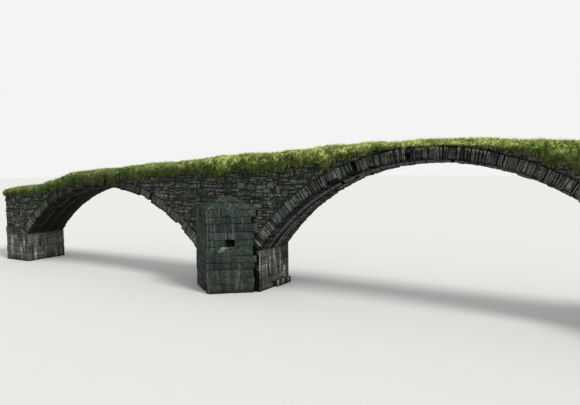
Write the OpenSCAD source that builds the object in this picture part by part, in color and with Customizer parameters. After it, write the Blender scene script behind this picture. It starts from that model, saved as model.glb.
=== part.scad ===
// Old packhorse bridge of sandstone: a wide segmental arch between two smaller ones, two
// piers with pointed cutwaters, no parapets, and a bed of earth and turf for a deck.
// It is a half-size model, so one unit is one millimetre here and two on the bridge.
// The bridge runs along X, the water runs along Y, and Z = 0 is the level of the river bed.

/* [Bridge] */
// Width of the masonry from face to face
bridge_w = 1300; // [1000:10:1700]
// Length of each abutment behind its arch
abutment_l = 1075; // [700:25:1600]
// Thickness of the spandrel walls
wall_t = 225; // [150:5:300]

/* [Main arch] */
// Clear span of the main arch
main_span = 7750; // [6800:50:8800]
// Rise of the main arch from springing to crown
main_rise = 2000; // [1700:20:2300]
// Height of the main arch's springing
main_spring_z = 950; // [800:10:1150]
// Depth of the main arch's stones
main_ring_t = 275; // [220:5:340]
// Number of stones in each ring of the main arch
main_stones = 75; // [55:2:91]

/* [Side arches] */
// Clear span of a side arch
side_span = 6600; // [5800:50:7400]
// Rise of a side arch from springing to crown
side_rise = 1475; // [1250:25:1650]
// Height of a side arch's springing
side_spring_z = 850; // [700:10:1000]
// Depth of a side arch's stones
side_ring_t = 260; // [210:5:320]
// Number of stones in each ring of a side arch
side_stones = 39; // [29:2:55]

/* [Rings and ribs] */
// Depth of a face ring into the bridge
face_ring_w = 350; // [250:10:420]
// How far the inner ribs hang below the face rings at the crown
rib_drop = 46; // [10:2:60]
// How sharply that drop dies away to nothing at the springing
rib_foot = 8; // [4:2:12]
// Greatest wear of a soffit stone
soffit_wear = 16; // [4:1:30]
// Depth of the sockets of the lost arch stones, into the face
socket_w = 210; // [120:10:240]

/* [Piers] */
// Length of a pier along the bridge
pier_l = 1850; // [1500:25:2300]
// Height of the footing course
footing_h = 150; // [80:5:220]
// How far the footing course stands out
footing_out = 75; // [30:5:120]

/* [Cutwaters] */
// How far a cutwater's nose stands out from the wall
cutwater_out = 740; // [500:10:950]
// Height of a cutwater's upright faces
cutwater_h = 1900; // [1500:20:2050]
// Height of the sloped cap above them
cutwater_cap_h = 330; // [150:10:420]
// Width of the blunt nose
nose_w = 60; // [20:5:120]
// Height of one course of the cutwaters' blocks
course_h = 170; // [120:5:220]
// Height of the bed under the block that is lost from the river flank
lost_block_z = 1085; // [500:5:1400]
// Length of that block along the flank
lost_block_l = 200; // [120:10:300]
// Depth of the socket that it left
lost_block_d = 140; // [60:10:200]
// How far the worn shoulder of a cutwater is eaten back at most
shoulder_wear = 70; // [20:5:100]

/* [Deck] */
// Earth over the crown of the main arch
main_cover = 180; // [150:5:240]
// Wall and earth over the crown of a side arch
side_cover = 246; // [240:5:300]
// Packing between the crown of the main arch and the earth bed
crown_pack = 15; // [10:1:30]
// Half length of the rounded top of the hump
hump_round = 600; // [300:50:900]
// How far the deck falls from a side arch to its abutment
approach_fall = 300; // [100:10:400]
// Half of the stretch at the crown where the arch has no wall above it
bare_crown = 1050; // [1000:25:1400]
// Camber of the earth bed across the bridge
bed_camber = 45; // [20:5:80]
// Height of the tussocks on the bed
tussock_h = 28; // [10:2:50]

/* [Hidden] */

// Colours of the stone and the deck
ashlar = "#8a7a66";
soffit_stone = "#7a6c5b";
rubble = "#7d7263";
turf = "#6f7d45";

// Facets of a full circle in the preview of an arch
arc_fn = 720;

// Stations along one half of the bridge, counted from the middle of the main arch
half_w = bridge_w / 2;
main_half = main_span / 2;
pier_mid = main_half + pier_l / 2;
pier_end = main_half + pier_l;
side_mid = pier_end + side_span / 2;
abutment_x = pier_end + side_span;
end_x = abutment_x + abutment_l;

// Radius of a segmental arch's soffit, and half the angle that it spans
function soffit_r(span, rise) = (span * span / 4 + rise * rise) / (2 * rise);
function half_angle(span, rise) = asin(span / 2 / soffit_r(span, rise));
main_r = soffit_r(main_span, main_rise);
side_r = soffit_r(side_span, side_rise);
main_a = half_angle(main_span, main_rise);
side_a = half_angle(side_span, side_rise);
main_cz = main_spring_z + main_rise - main_r;
side_cz = side_spring_z + side_rise - side_r;

// The outer ends of the springings, where the backs of the rings meet pier and abutment
main_skew = [main_half + main_ring_t * sin(main_a), main_spring_z + main_ring_t * cos(main_a)];
side_skew_out = side_ring_t * sin(side_a);
side_skew_z = side_spring_z + side_ring_t * cos(side_a);

// Top of the deck: a rounded hump, straight slopes and a steeper fall to each abutment
main_top = main_spring_z + main_rise + main_ring_t + main_cover;
side_top = side_spring_z + side_rise + side_ring_t + side_cover;
function hump_run(x) = sqrt(x * x + hump_round * hump_round) - hump_round;
deck_slope = (main_top - side_top) / hump_run(side_mid);
fall_from = side_mid + side_span / 8;
function ease(t) = t <= 0 ? 0 : t >= 1 ? 1 : t * t * (3 - 2 * t);
function deck_z(x) = main_top - deck_slope * hump_run(x)
    - approach_fall * ease((abs(x) - fall_from) / (abutment_x - fall_from));
bed_t = main_cover - crown_pack;
function wall_z(x) = deck_z(x) - bed_t;

// Every top line is drawn through the same stations, so that walls and bed meet exactly
station_step = 330;
function steps_between(a, b) =
    let (n = max(1, round((b - a) / station_step))) [for (i = [0 : n - 1]) a + (b - a) * i / n];
half_stations = concat(steps_between(0, bare_crown), steps_between(bare_crown, pier_mid),
    steps_between(pier_mid, side_mid), steps_between(side_mid, end_x), [end_x]);
function stations(a, b) = [for (x = half_stations) if (x >= a - 0.01 && x <= b + 0.01) x];

// A number from -1 to 1 that changes from stone to stone, the same on every build
function uneven(i, seed) = (sin(i * 137.5 + seed * 71) + sin(i * 59.3 + seed * 23)) / 2;

// Turns an outline drawn in X and Z into a slab between two places along Y
module slab(y_from, y_to) {
    translate([0, y_to, 0]) rotate([90, 0, 0]) linear_extrude(y_to - y_from) children();
}

// The right half is drawn, and the left half is its mirror image
module on_left() { mirror([1, 0, 0]) children(); }

// The back face is the mirror image of the front face
module on_back() { mirror([0, 1, 0]) children(); }

// A full disc of an arch's back, which cuts the walls and fill so that they sit on it
module main_back_disc() { translate([0, main_cz]) circle(r = main_r + main_ring_t, $fn = arc_fn); }
module side_back_disc() { translate([side_mid, side_cz]) circle(r = side_r + side_ring_t, $fn = arc_fn); }

// Soffit of one ring as flat stones: each is worn by its own amount, and a rib hangs
// lower towards the crown but starts flush at the springing
function soffit_points(r, a, stones, drop, seed) = [
    for (i = [0 : stones - 1])
        let (from = -a + 2 * a * i / stones,
            to = -a + 2 * a * (i + 1) / stones,
            mid = (from + to) / 2 / a,
            edge = abs(i - (stones - 1) / 2) > stones / 2 - 2 ? 0 : 1,
            stone_r = r - drop * (1 - pow(mid, rib_foot)) + edge * soffit_wear * (1 + uneven(i, seed)) / 2)
        for (t = [from, to]) [stone_r * sin(t), stone_r * cos(t)]
];

// Outline of one ring between its two springings
module ring_outline(r, a, t, stones, drop, seed) {
    reach = (r + t) * 1.1 / cos(a);
    beyond = a * 1.06;
    inner = (r - drop) * 0.9;
    intersection() {
        difference() {
            circle(r = r + t, $fn = arc_fn);
            polygon(concat([[-r * sin(beyond), r * cos(beyond)]],
                soffit_points(r, a, stones, drop, seed),
                [[r * sin(beyond), r * cos(beyond)], [0, -inner]]));
        }
        polygon([[0, 0], [-reach * sin(a), reach * cos(a)], [reach * sin(a), reach * cos(a)]]);
    }
}

// One stone's place in a ring as a wedge, where share is how much of its length it takes
module stone_wedge(r, a, stones, index, share, low, high) {
    from = -a + 2 * a * (index + (1 - share) / 2) / stones;
    to = -a + 2 * a * (index + (1 + share) / 2) / stones;
    polygon([for (p = [[low, from], [high, from], [high, to], [low, to]])
        [(r + p[0]) * sin(p[1]), (r + p[0]) * cos(p[1])]]);
}
open_joint = 0.28;

// Stones lost from the front rings: each is counted from the left springing of the drawn arch,
// with how far above the soffit its socket starts
main_lost = [[24, -60], [33, 100]];
side_lost = [[9, -60]];
lost_share = 0.86;

// A ring of the main arch, with the sockets of the stones that it has lost from its face
module main_ring(y_from, y_to, drop, seed, lost = []) {
    difference() {
        slab(y_from, y_to) translate([0, main_cz])
            ring_outline(main_r, main_a, main_ring_t, main_stones, drop, seed);
        for (l = lost) slab(y_from - 10, y_from + socket_w) translate([0, main_cz])
            stone_wedge(main_r, main_a, main_stones, l[0], 0.92, l[1], main_ring_t * lost_share);
    }
}

// A ring of a side arch, where a stone has shrunk from its neighbour and left an open joint
module side_ring(y_from, y_to, drop, seed, lost = []) {
    difference() {
        slab(y_from, y_to) translate([side_mid, side_cz])
            ring_outline(side_r, side_a, side_ring_t, side_stones, drop, seed);
        for (l = lost) slab(y_from - 10, y_from + socket_w) translate([side_mid, side_cz])
            stone_wedge(side_r, side_a, side_stones, l[0], open_joint, l[1], side_ring_t * lost_share);
    }
}

// Pier: upright sides, and skewed seats above them for the two arches
module pier() {
    color(ashlar) difference() {
        slab(-half_w, half_w) polygon([[main_half, 0], [pier_end, 0], [pier_end, side_spring_z],
            [pier_end - side_skew_out, side_skew_z], main_skew, [main_half, main_spring_z]]);
        translate([main_half - 10, 0, -10]) cube([pier_l + 20, half_w + 10, footing_h + 10]);
    }
}

// Footing: the course that stands out under the back half of a pier
module footing() {
    color(ashlar) translate([main_half - footing_out, 0, 0])
        cube([pier_l + 2 * footing_out, half_w, footing_h]);
}

// Cutwater: a pointed pier end with a sloped cap that dies against the wall
module cutwater() {
    difference() {
        linear_extrude(cutwater_h + cutwater_cap_h) polygon([[main_half, half_w], [pier_end, half_w],
            [pier_mid + nose_w / 2, half_w + cutwater_out], [pier_mid - nose_w / 2, half_w + cutwater_out]]);
        for (s = [-1, 1]) translate([pier_mid, half_w, cutwater_h + cutwater_cap_h])
            multmatrix([[1, 0, 0, 0], [0, 1, 0, 0],
                [-s * cap_fall_x, -cap_fall_y, 1, 0], [0, 0, 0, 1]])
            translate([s > 0 ? -1 : -pier_l, -10, 0])
            cube([pier_l + 1, cutwater_out + 60, 1200]);
    }
}

// Worn shoulder: the blocks beside the river arch are eaten back, each by its own amount
module worn_shoulder() {
    for (i = [0 : floor(main_spring_z * 1.35 / course_h)])
        let (bite = shoulder_wear * (0.35 + 0.65 * abs(uneven(i, 31))))
            translate([main_half - 1, half_w - 1, i * course_h])
                cube([bite + 1, bite * 0.8 + 1, course_h]);
}

// Socket of a block that is lost from the flank beside the river arch
module lost_block() {
    flank = [pier_mid - nose_w / 2 - main_half, cutwater_out];
    translate([main_half, half_w, 0]) rotate([0, 0, atan2(flank[1], flank[0])])
        translate([norm(flank) * lost_block_at, -lost_block_d, lost_block_z])
        cube([lost_block_l, lost_block_d * 2, course_h]);
}
lost_block_at = 0.5;

module front_cutwater() {
    color(ashlar) difference() {
        cutwater();
        worn_shoulder();
        lost_block();
    }
}

module back_cutwater() {
    color(ashlar) cutwater();
}
cap_fall_x = cutwater_cap_h / (pier_l / 2);
cap_fall_y = cutwater_cap_h / cutwater_out;

// Abutment: like half a pier, with the arch's seat on its river side
module abutment() {
    color(ashlar) slab(-half_w, half_w) polygon([[abutment_x, 0], [end_x, 0], [end_x, side_skew_z],
        [abutment_x + side_skew_out, side_skew_z], [abutment_x, side_spring_z]]);
}

// End wall: closes the approach between its two walls
module end_wall() {
    color(rubble) slab(-half_w + wall_t, half_w - wall_t)
        polygon([[end_x - wall_t, side_skew_z], [end_x, side_skew_z], [end_x, wall_z(end_x)],
            [end_x - wall_t, wall_line_z(end_x - wall_t)]]);
}

// Height of the drawn top line of the walls at any place, between its stations
function wall_line_z(x) = lookup(x, [for (s = half_stations) [s, wall_z(s)]]);

// Outline over the pier, from the bare crown of the main arch to the crown of the side arch
module pier_wall_outline() {
    xs = stations(bare_crown, side_mid);
    difference() {
        polygon(concat([[bare_crown, main_spring_z]], [main_skew],
            [[pier_end - side_skew_out, side_skew_z], [side_mid, side_spring_z]],
            [for (i = [len(xs) - 1 : -1 : 0]) [xs[i], wall_z(xs[i])]]));
        main_back_disc();
        side_back_disc();
    }
}

// Outline from the crown of the side arch to a place near the bridge's end
module approach_outline(last_x) {
    xs = [for (x = stations(side_mid, end_x)) if (x < last_x - 1) x];
    difference() {
        polygon(concat([[side_mid, side_spring_z], [abutment_x + side_skew_out, side_skew_z],
            [last_x, side_skew_z], [last_x, wall_line_z(last_x)]],
            [for (i = [len(xs) - 1 : -1 : 0]) [xs[i], wall_z(xs[i])]]));
        side_back_disc();
    }
}

module pier_wall() {
    color(rubble) slab(-half_w, -half_w + wall_t) pier_wall_outline();
}

module approach_wall() {
    color(rubble) slab(-half_w, -half_w + wall_t) approach_outline(end_x);
}

module pier_fill() {
    color(rubble) slab(-half_w + wall_t, half_w - wall_t) pier_wall_outline();
}

module approach_fill() {
    color(rubble) slab(-half_w + wall_t, half_w - wall_t) approach_outline(end_x - wall_t);
}

// Earth bed: a cambered top that rises and sinks a little, over the straight tops of the walls
bed_rows = 4;
bed_edge = 25;
function bed_top(x, v) = deck_z(x) - tussock_h - bed_camber * v * v
    + tussock_h * uneven(x / 400, 2 + v);
function bed_section(x) = concat(
    [for (j = [0 : bed_rows]) let (v = -1 + 2 * j / bed_rows)
        [x, v * (half_w + bed_edge), bed_top(x, v)]],
    [[x, half_w + bed_edge, wall_z(x)], [x, -half_w - bed_edge, wall_z(x)]]);

module bed(xs) {
    n = bed_rows + 3;
    points = [for (x = xs) each bed_section(x)];
    last = (len(xs) - 1) * n;
    polyhedron(points, concat(
        [[for (j = [0 : n - 1]) j]],
        [[for (j = [n - 1 : -1 : 0]) last + j]],
        [for (i = [0 : len(xs) - 2], j = [0 : n - 1]) let (k = (j + 1) % n)
            each [[i * n + j, (i + 1) * n + j, (i + 1) * n + k], [i * n + j, (i + 1) * n + k, i * n + k]]]
    ));
}

module side_bed() {
    color(turf) bed(stations(pier_mid, end_x));
}

// The main bed runs from pier to pier over the hump
function mirrored(xs) = concat([for (i = [len(xs) - 1 : -1 : 1]) -xs[i]], xs);

module main_bed() {
    color(turf) bed(mirrored(stations(0, pier_mid)));
}

// Packing: what levels the back of the main ring where no wall stands on it
module packing() {
    xs = mirrored(stations(0, bare_crown));
    color(rubble) slab(-half_w, half_w) difference() {
        polygon(concat([[-bare_crown, main_spring_z]], [for (x = xs) [x, wall_z(x)]],
            [[bare_crown, main_spring_z]]));
        main_back_disc();
    }
}

on_left() pier();  // left_pier
pier();  // right_pier
on_left() footing();  // left_footing
footing();  // right_footing
on_left() on_back() front_cutwater();  // left_front_cutwater
on_left() back_cutwater();  // left_back_cutwater
on_back() front_cutwater();  // right_front_cutwater
back_cutwater();  // right_back_cutwater
on_left() abutment();  // left_abutment
abutment();  // right_abutment
on_left() end_wall();  // left_end_wall
end_wall();  // right_end_wall
color(ashlar) main_ring(-half_w, -half_w + face_ring_w, 0, 1, main_lost);  // main_front_ring
color(soffit_stone) main_ring(-half_w + face_ring_w, 0, rib_drop, 2);  // main_front_rib
color(soffit_stone) main_ring(0, half_w - face_ring_w, rib_drop, 3);  // main_back_rib
color(ashlar) main_ring(half_w - face_ring_w, half_w, 0, 4);  // main_back_ring
color(ashlar) on_left() side_ring(-half_w, -half_w + face_ring_w, 0, 5, side_lost);  // left_front_ring
color(soffit_stone) on_left() side_ring(-half_w + face_ring_w, 0, rib_drop, 6);  // left_front_rib
color(soffit_stone) on_left() side_ring(0, half_w - face_ring_w, rib_drop, 7);  // left_back_rib
color(ashlar) on_left() side_ring(half_w - face_ring_w, half_w, 0, 8);  // left_back_ring
color(ashlar) side_ring(-half_w, -half_w + face_ring_w, 0, 9);  // right_front_ring
color(soffit_stone) side_ring(-half_w + face_ring_w, 0, rib_drop, 10);  // right_front_rib
color(soffit_stone) side_ring(0, half_w - face_ring_w, rib_drop, 11);  // right_back_rib
color(ashlar) side_ring(half_w - face_ring_w, half_w, 0, 12);  // right_back_ring
on_left() pier_wall();  // left_front_pier_wall
on_left() on_back() pier_wall();  // left_back_pier_wall
pier_wall();  // right_front_pier_wall
on_back() pier_wall();  // right_back_pier_wall
on_left() approach_wall();  // left_front_approach_wall
on_left() on_back() approach_wall();  // left_back_approach_wall
approach_wall();  // right_front_approach_wall
on_back() approach_wall();  // right_back_approach_wall
on_left() pier_fill();  // left_pier_fill
pier_fill();  // right_pier_fill
on_left() approach_fill();  // left_approach_fill
approach_fill();  // right_approach_fill
packing();  // crown_packing
on_left() side_bed();  // left_turf_bed
main_bed();  // main_turf_bed
side_bed();  // right_turf_bed
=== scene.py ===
import logging
import math
from dataclasses import dataclass, field, replace
from enum import Enum
from typing import Callable, Optional, Sequence, Union

import bpy
import numpy as np
from bpy.types import Material, Node, NodeSocket, NodeTree, Object
from mathutils import Matrix, Vector
from numpy.random import Generator


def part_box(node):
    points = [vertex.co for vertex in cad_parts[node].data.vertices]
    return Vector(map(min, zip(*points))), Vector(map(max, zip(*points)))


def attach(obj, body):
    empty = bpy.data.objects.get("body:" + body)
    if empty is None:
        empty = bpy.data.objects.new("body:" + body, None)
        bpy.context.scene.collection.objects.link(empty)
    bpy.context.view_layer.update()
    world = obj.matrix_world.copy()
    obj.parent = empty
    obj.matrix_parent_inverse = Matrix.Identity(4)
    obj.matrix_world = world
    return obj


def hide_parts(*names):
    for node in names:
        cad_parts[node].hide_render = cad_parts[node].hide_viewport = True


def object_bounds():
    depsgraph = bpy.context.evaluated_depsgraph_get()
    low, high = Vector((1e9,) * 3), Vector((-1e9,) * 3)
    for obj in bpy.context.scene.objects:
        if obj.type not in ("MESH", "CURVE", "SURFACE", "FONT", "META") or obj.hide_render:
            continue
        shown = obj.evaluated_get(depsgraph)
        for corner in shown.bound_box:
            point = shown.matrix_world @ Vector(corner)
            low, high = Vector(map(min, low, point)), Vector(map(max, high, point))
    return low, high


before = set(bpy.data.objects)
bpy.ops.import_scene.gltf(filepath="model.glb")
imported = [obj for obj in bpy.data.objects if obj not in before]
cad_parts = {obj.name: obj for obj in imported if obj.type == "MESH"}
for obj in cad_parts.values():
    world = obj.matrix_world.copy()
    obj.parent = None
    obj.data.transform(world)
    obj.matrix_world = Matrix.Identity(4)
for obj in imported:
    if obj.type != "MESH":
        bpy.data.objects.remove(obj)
CAD_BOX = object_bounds()

Array = np.ndarray
Pair = tuple[float, float]
Triple = tuple[float, float, float]

LOG = logging.getLogger("packhorse_bridge")
MM = 0.001
FAR_BELOW = -1e3


# Meshes


class Side(Enum):
    """Which half of the bridge a piece stands in, as the sign of its X."""

    LEFT = -1
    RIGHT = 1


class Face(Enum):
    """Which long face of the bridge a piece is on, as the sign of its Y."""

    FRONT = -1
    BACK = 1


class Plane(Enum):
    """The plane that an outline is drawn in before it is drawn out to a prism."""

    PLAN = "xy"
    PROFILE = "xz"


HASH_PRIMES = (73856093, 19349663, 83492791)
SEED_PRIME, MIX_PRIME = 2654435761, 1274126177
AXIS_SHIFT, AXIS_SEED = 31.7, 101


def lattice_noise(points: Array, seed: int) -> Array:
    """Smooth noise on a cubic lattice, the same on every run.

    Args:
        points: An (n, 3) array, where one unit is one cell of the lattice.
        seed: Which noise field to read.

    Returns:
        n values from -1 to 1.
    """
    cell = np.floor(points).astype(np.int64)
    part = points - cell
    part = part * part * (3 - 2 * part)
    total = np.zeros(len(points))
    for corner in range(8):
        step = np.array([corner & 1, corner >> 1 & 1, corner >> 2 & 1])
        at = (cell + step) * np.array(HASH_PRIMES)
        mixed = at[:, 0] ^ at[:, 1] ^ at[:, 2] ^ (seed * SEED_PRIME)
        mixed = (mixed ^ (mixed >> 13)) * MIX_PRIME
        value = ((mixed ^ (mixed >> 16)) & 0xFFFF) / 32767.5 - 1
        total += value * np.prod(np.where(step, part, 1 - part), axis=1)
    return total


def noise_vectors(points: Array, wavelength: float, seed: int) -> Array:
    """Reads three noise fields together.

    Args:
        points: An (n, 3) array of places in metres.
        wavelength: Size of one cell of the lattice.
        seed: Which fields to read.

    Returns:
        An (n, 3) array of pushes from -1 to 1.
    """
    scaled = points / wavelength
    fields = [lattice_noise(scaled + AXIS_SHIFT * axis, seed + AXIS_SEED * axis) for axis in range(3)]
    return np.stack(fields, axis=-1)


def unit(vectors: Array) -> Array:
    """The same vectors, each one long."""
    return vectors / np.linalg.norm(vectors, axis=-1, keepdims=True)


@dataclass
class Mesh:
    """A mesh before it becomes an object.

    Attributes:
        verts: Its points, (n, 3).
        corners: The points of all its polygons in a row.
        sizes: How many corners each polygon has.
        exposure_and_light: How far each point stands out of the joints and the wet, from 0 to 1, and up to
        WEAR_AND_HIGHLIGHT where an edge is worn pale or a blade is sunlit. It also carries painted light:
        lower values paint shade under the turf, on the soffits and in the turf's hollows, and the
        pale edges are partly a painted highlight.
    """

    verts: Array
    corners: Array
    sizes: Array
    exposure_and_light: Array

    @classmethod
    def of(cls, verts: Array, polygons: Sequence[Array]) -> "Mesh":
        """Makes a closed mesh, turned so that its polygons face outwards.

        Args:
            verts: Its points, (n, 3).
            polygons: The points of each polygon in order.

        Returns:
            The mesh, with nothing of it in the open.
        """
        volume = 0.0
        for polygon in polygons:
            fan = verts[polygon]
            volume += float((np.cross(fan[1:-1], fan[2:]) @ fan[0]).sum())
        turned = [polygon[::-1] for polygon in polygons] if volume < 0 else polygons
        sizes = np.array([len(polygon) for polygon in turned])
        return cls(verts, np.concatenate(turned), sizes, np.zeros(len(verts)))

    @classmethod
    def joined(cls, parts: Sequence["Mesh"]) -> "Mesh":
        """Joins several meshes into one, without welding them.

        Args:
            parts: The meshes in order.

        Returns:
            One mesh, with its points and polygons in the same order.
        """
        starts = np.cumsum([0] + [len(part.verts) for part in parts])
        return cls(np.concatenate([part.verts for part in parts]),
                   np.concatenate([part.corners + start for part, start in zip(parts, starts)]),
                   np.concatenate([part.sizes for part in parts]),
                   np.concatenate([part.exposure_and_light for part in parts]))

    @classmethod
    def prism(cls, outline: Sequence[Pair], plane: Plane, low: float, high: float) -> "Mesh":
        """Makes a closed prism on an outline.

        Args:
            outline: Corners in the plane, in order, either way round.
            plane: PLAN draws it out along Z, PROFILE along Y.
            low: Where it starts along the third axis.
            high: Where it ends.

        Returns:
            The mesh, with its faces looking outwards.
        """
        flat = np.asarray(outline, float)
        ends = []
        for level in (low, high):
            third = np.full(len(flat), level)
            others = (flat[:, 1], third) if plane is Plane.PLAN else (third, flat[:, 1])
            ends.append(np.stack([flat[:, 0], *others], axis=-1))
        ring = np.arange(len(flat))
        after = (ring + 1) % len(flat)
        sides = np.stack([ring, after, after + len(flat), ring + len(flat)], axis=-1)
        return cls.of(np.concatenate(ends), list(sides) + [ring[::-1], ring + len(flat)])


def grid_of_box(cells: tuple[int, int, int]) -> tuple[Array, Array]:
    """Cuts the skin of a box into cells.

    Args:
        cells: How many cells along each of its three axes.

    Returns:
        The skin's points as whole-number places, and its outward quads.
    """
    number: dict[tuple[int, ...], int] = {}
    quads = []
    for axis in range(3):
        first, second = (axis + 1) % 3, (axis + 2) % 3
        for end in (0, cells[axis]):
            for i in range(cells[first]):
                for j in range(cells[second]):
                    corners = []
                    for a, b in ((i, j), (i + 1, j), (i + 1, j + 1), (i, j + 1)):
                        place = [0, 0, 0]
                        place[axis], place[first], place[second] = end, a, b
                        corners.append(number.setdefault(tuple(place), len(number)))
                    quads.append(corners if end else corners[::-1])
    return np.array(list(number)), np.array(quads)


# Which sides of a stone are open to the air, as (axis, end) pairs: its axes run along the wall, up
# and into the wall.
FACE_ONLY = ((2, 0),)
FACE_AND_SOFFIT = ((2, 0), (1, 0))
FACE_AND_TOP = ((2, 0), (1, 1))

# How far in the open a stone's points stand: its rims by the joints are dark, its quoins and other pale edges
# are worn and partly a painted highlight, and WEAR_AND_HIGHLIGHT also marks sunlit blades of grass, a painted
# highlight.
RIM_OPEN_AIR = 0.22
WORN_AND_LIT_QUOIN = 1.3
WEAR_AND_HIGHLIGHT = 2.0
MOST_ROUNDING = 0.3
QUOIN_SPACING, QUOIN_WEAR = 1.5, 0.8
LUMP_SIZE, GRIT_SIZE, GRIT_SHARE = 0.085, 0.03, 0.35
STONE_SHIFT = 0.37


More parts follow.
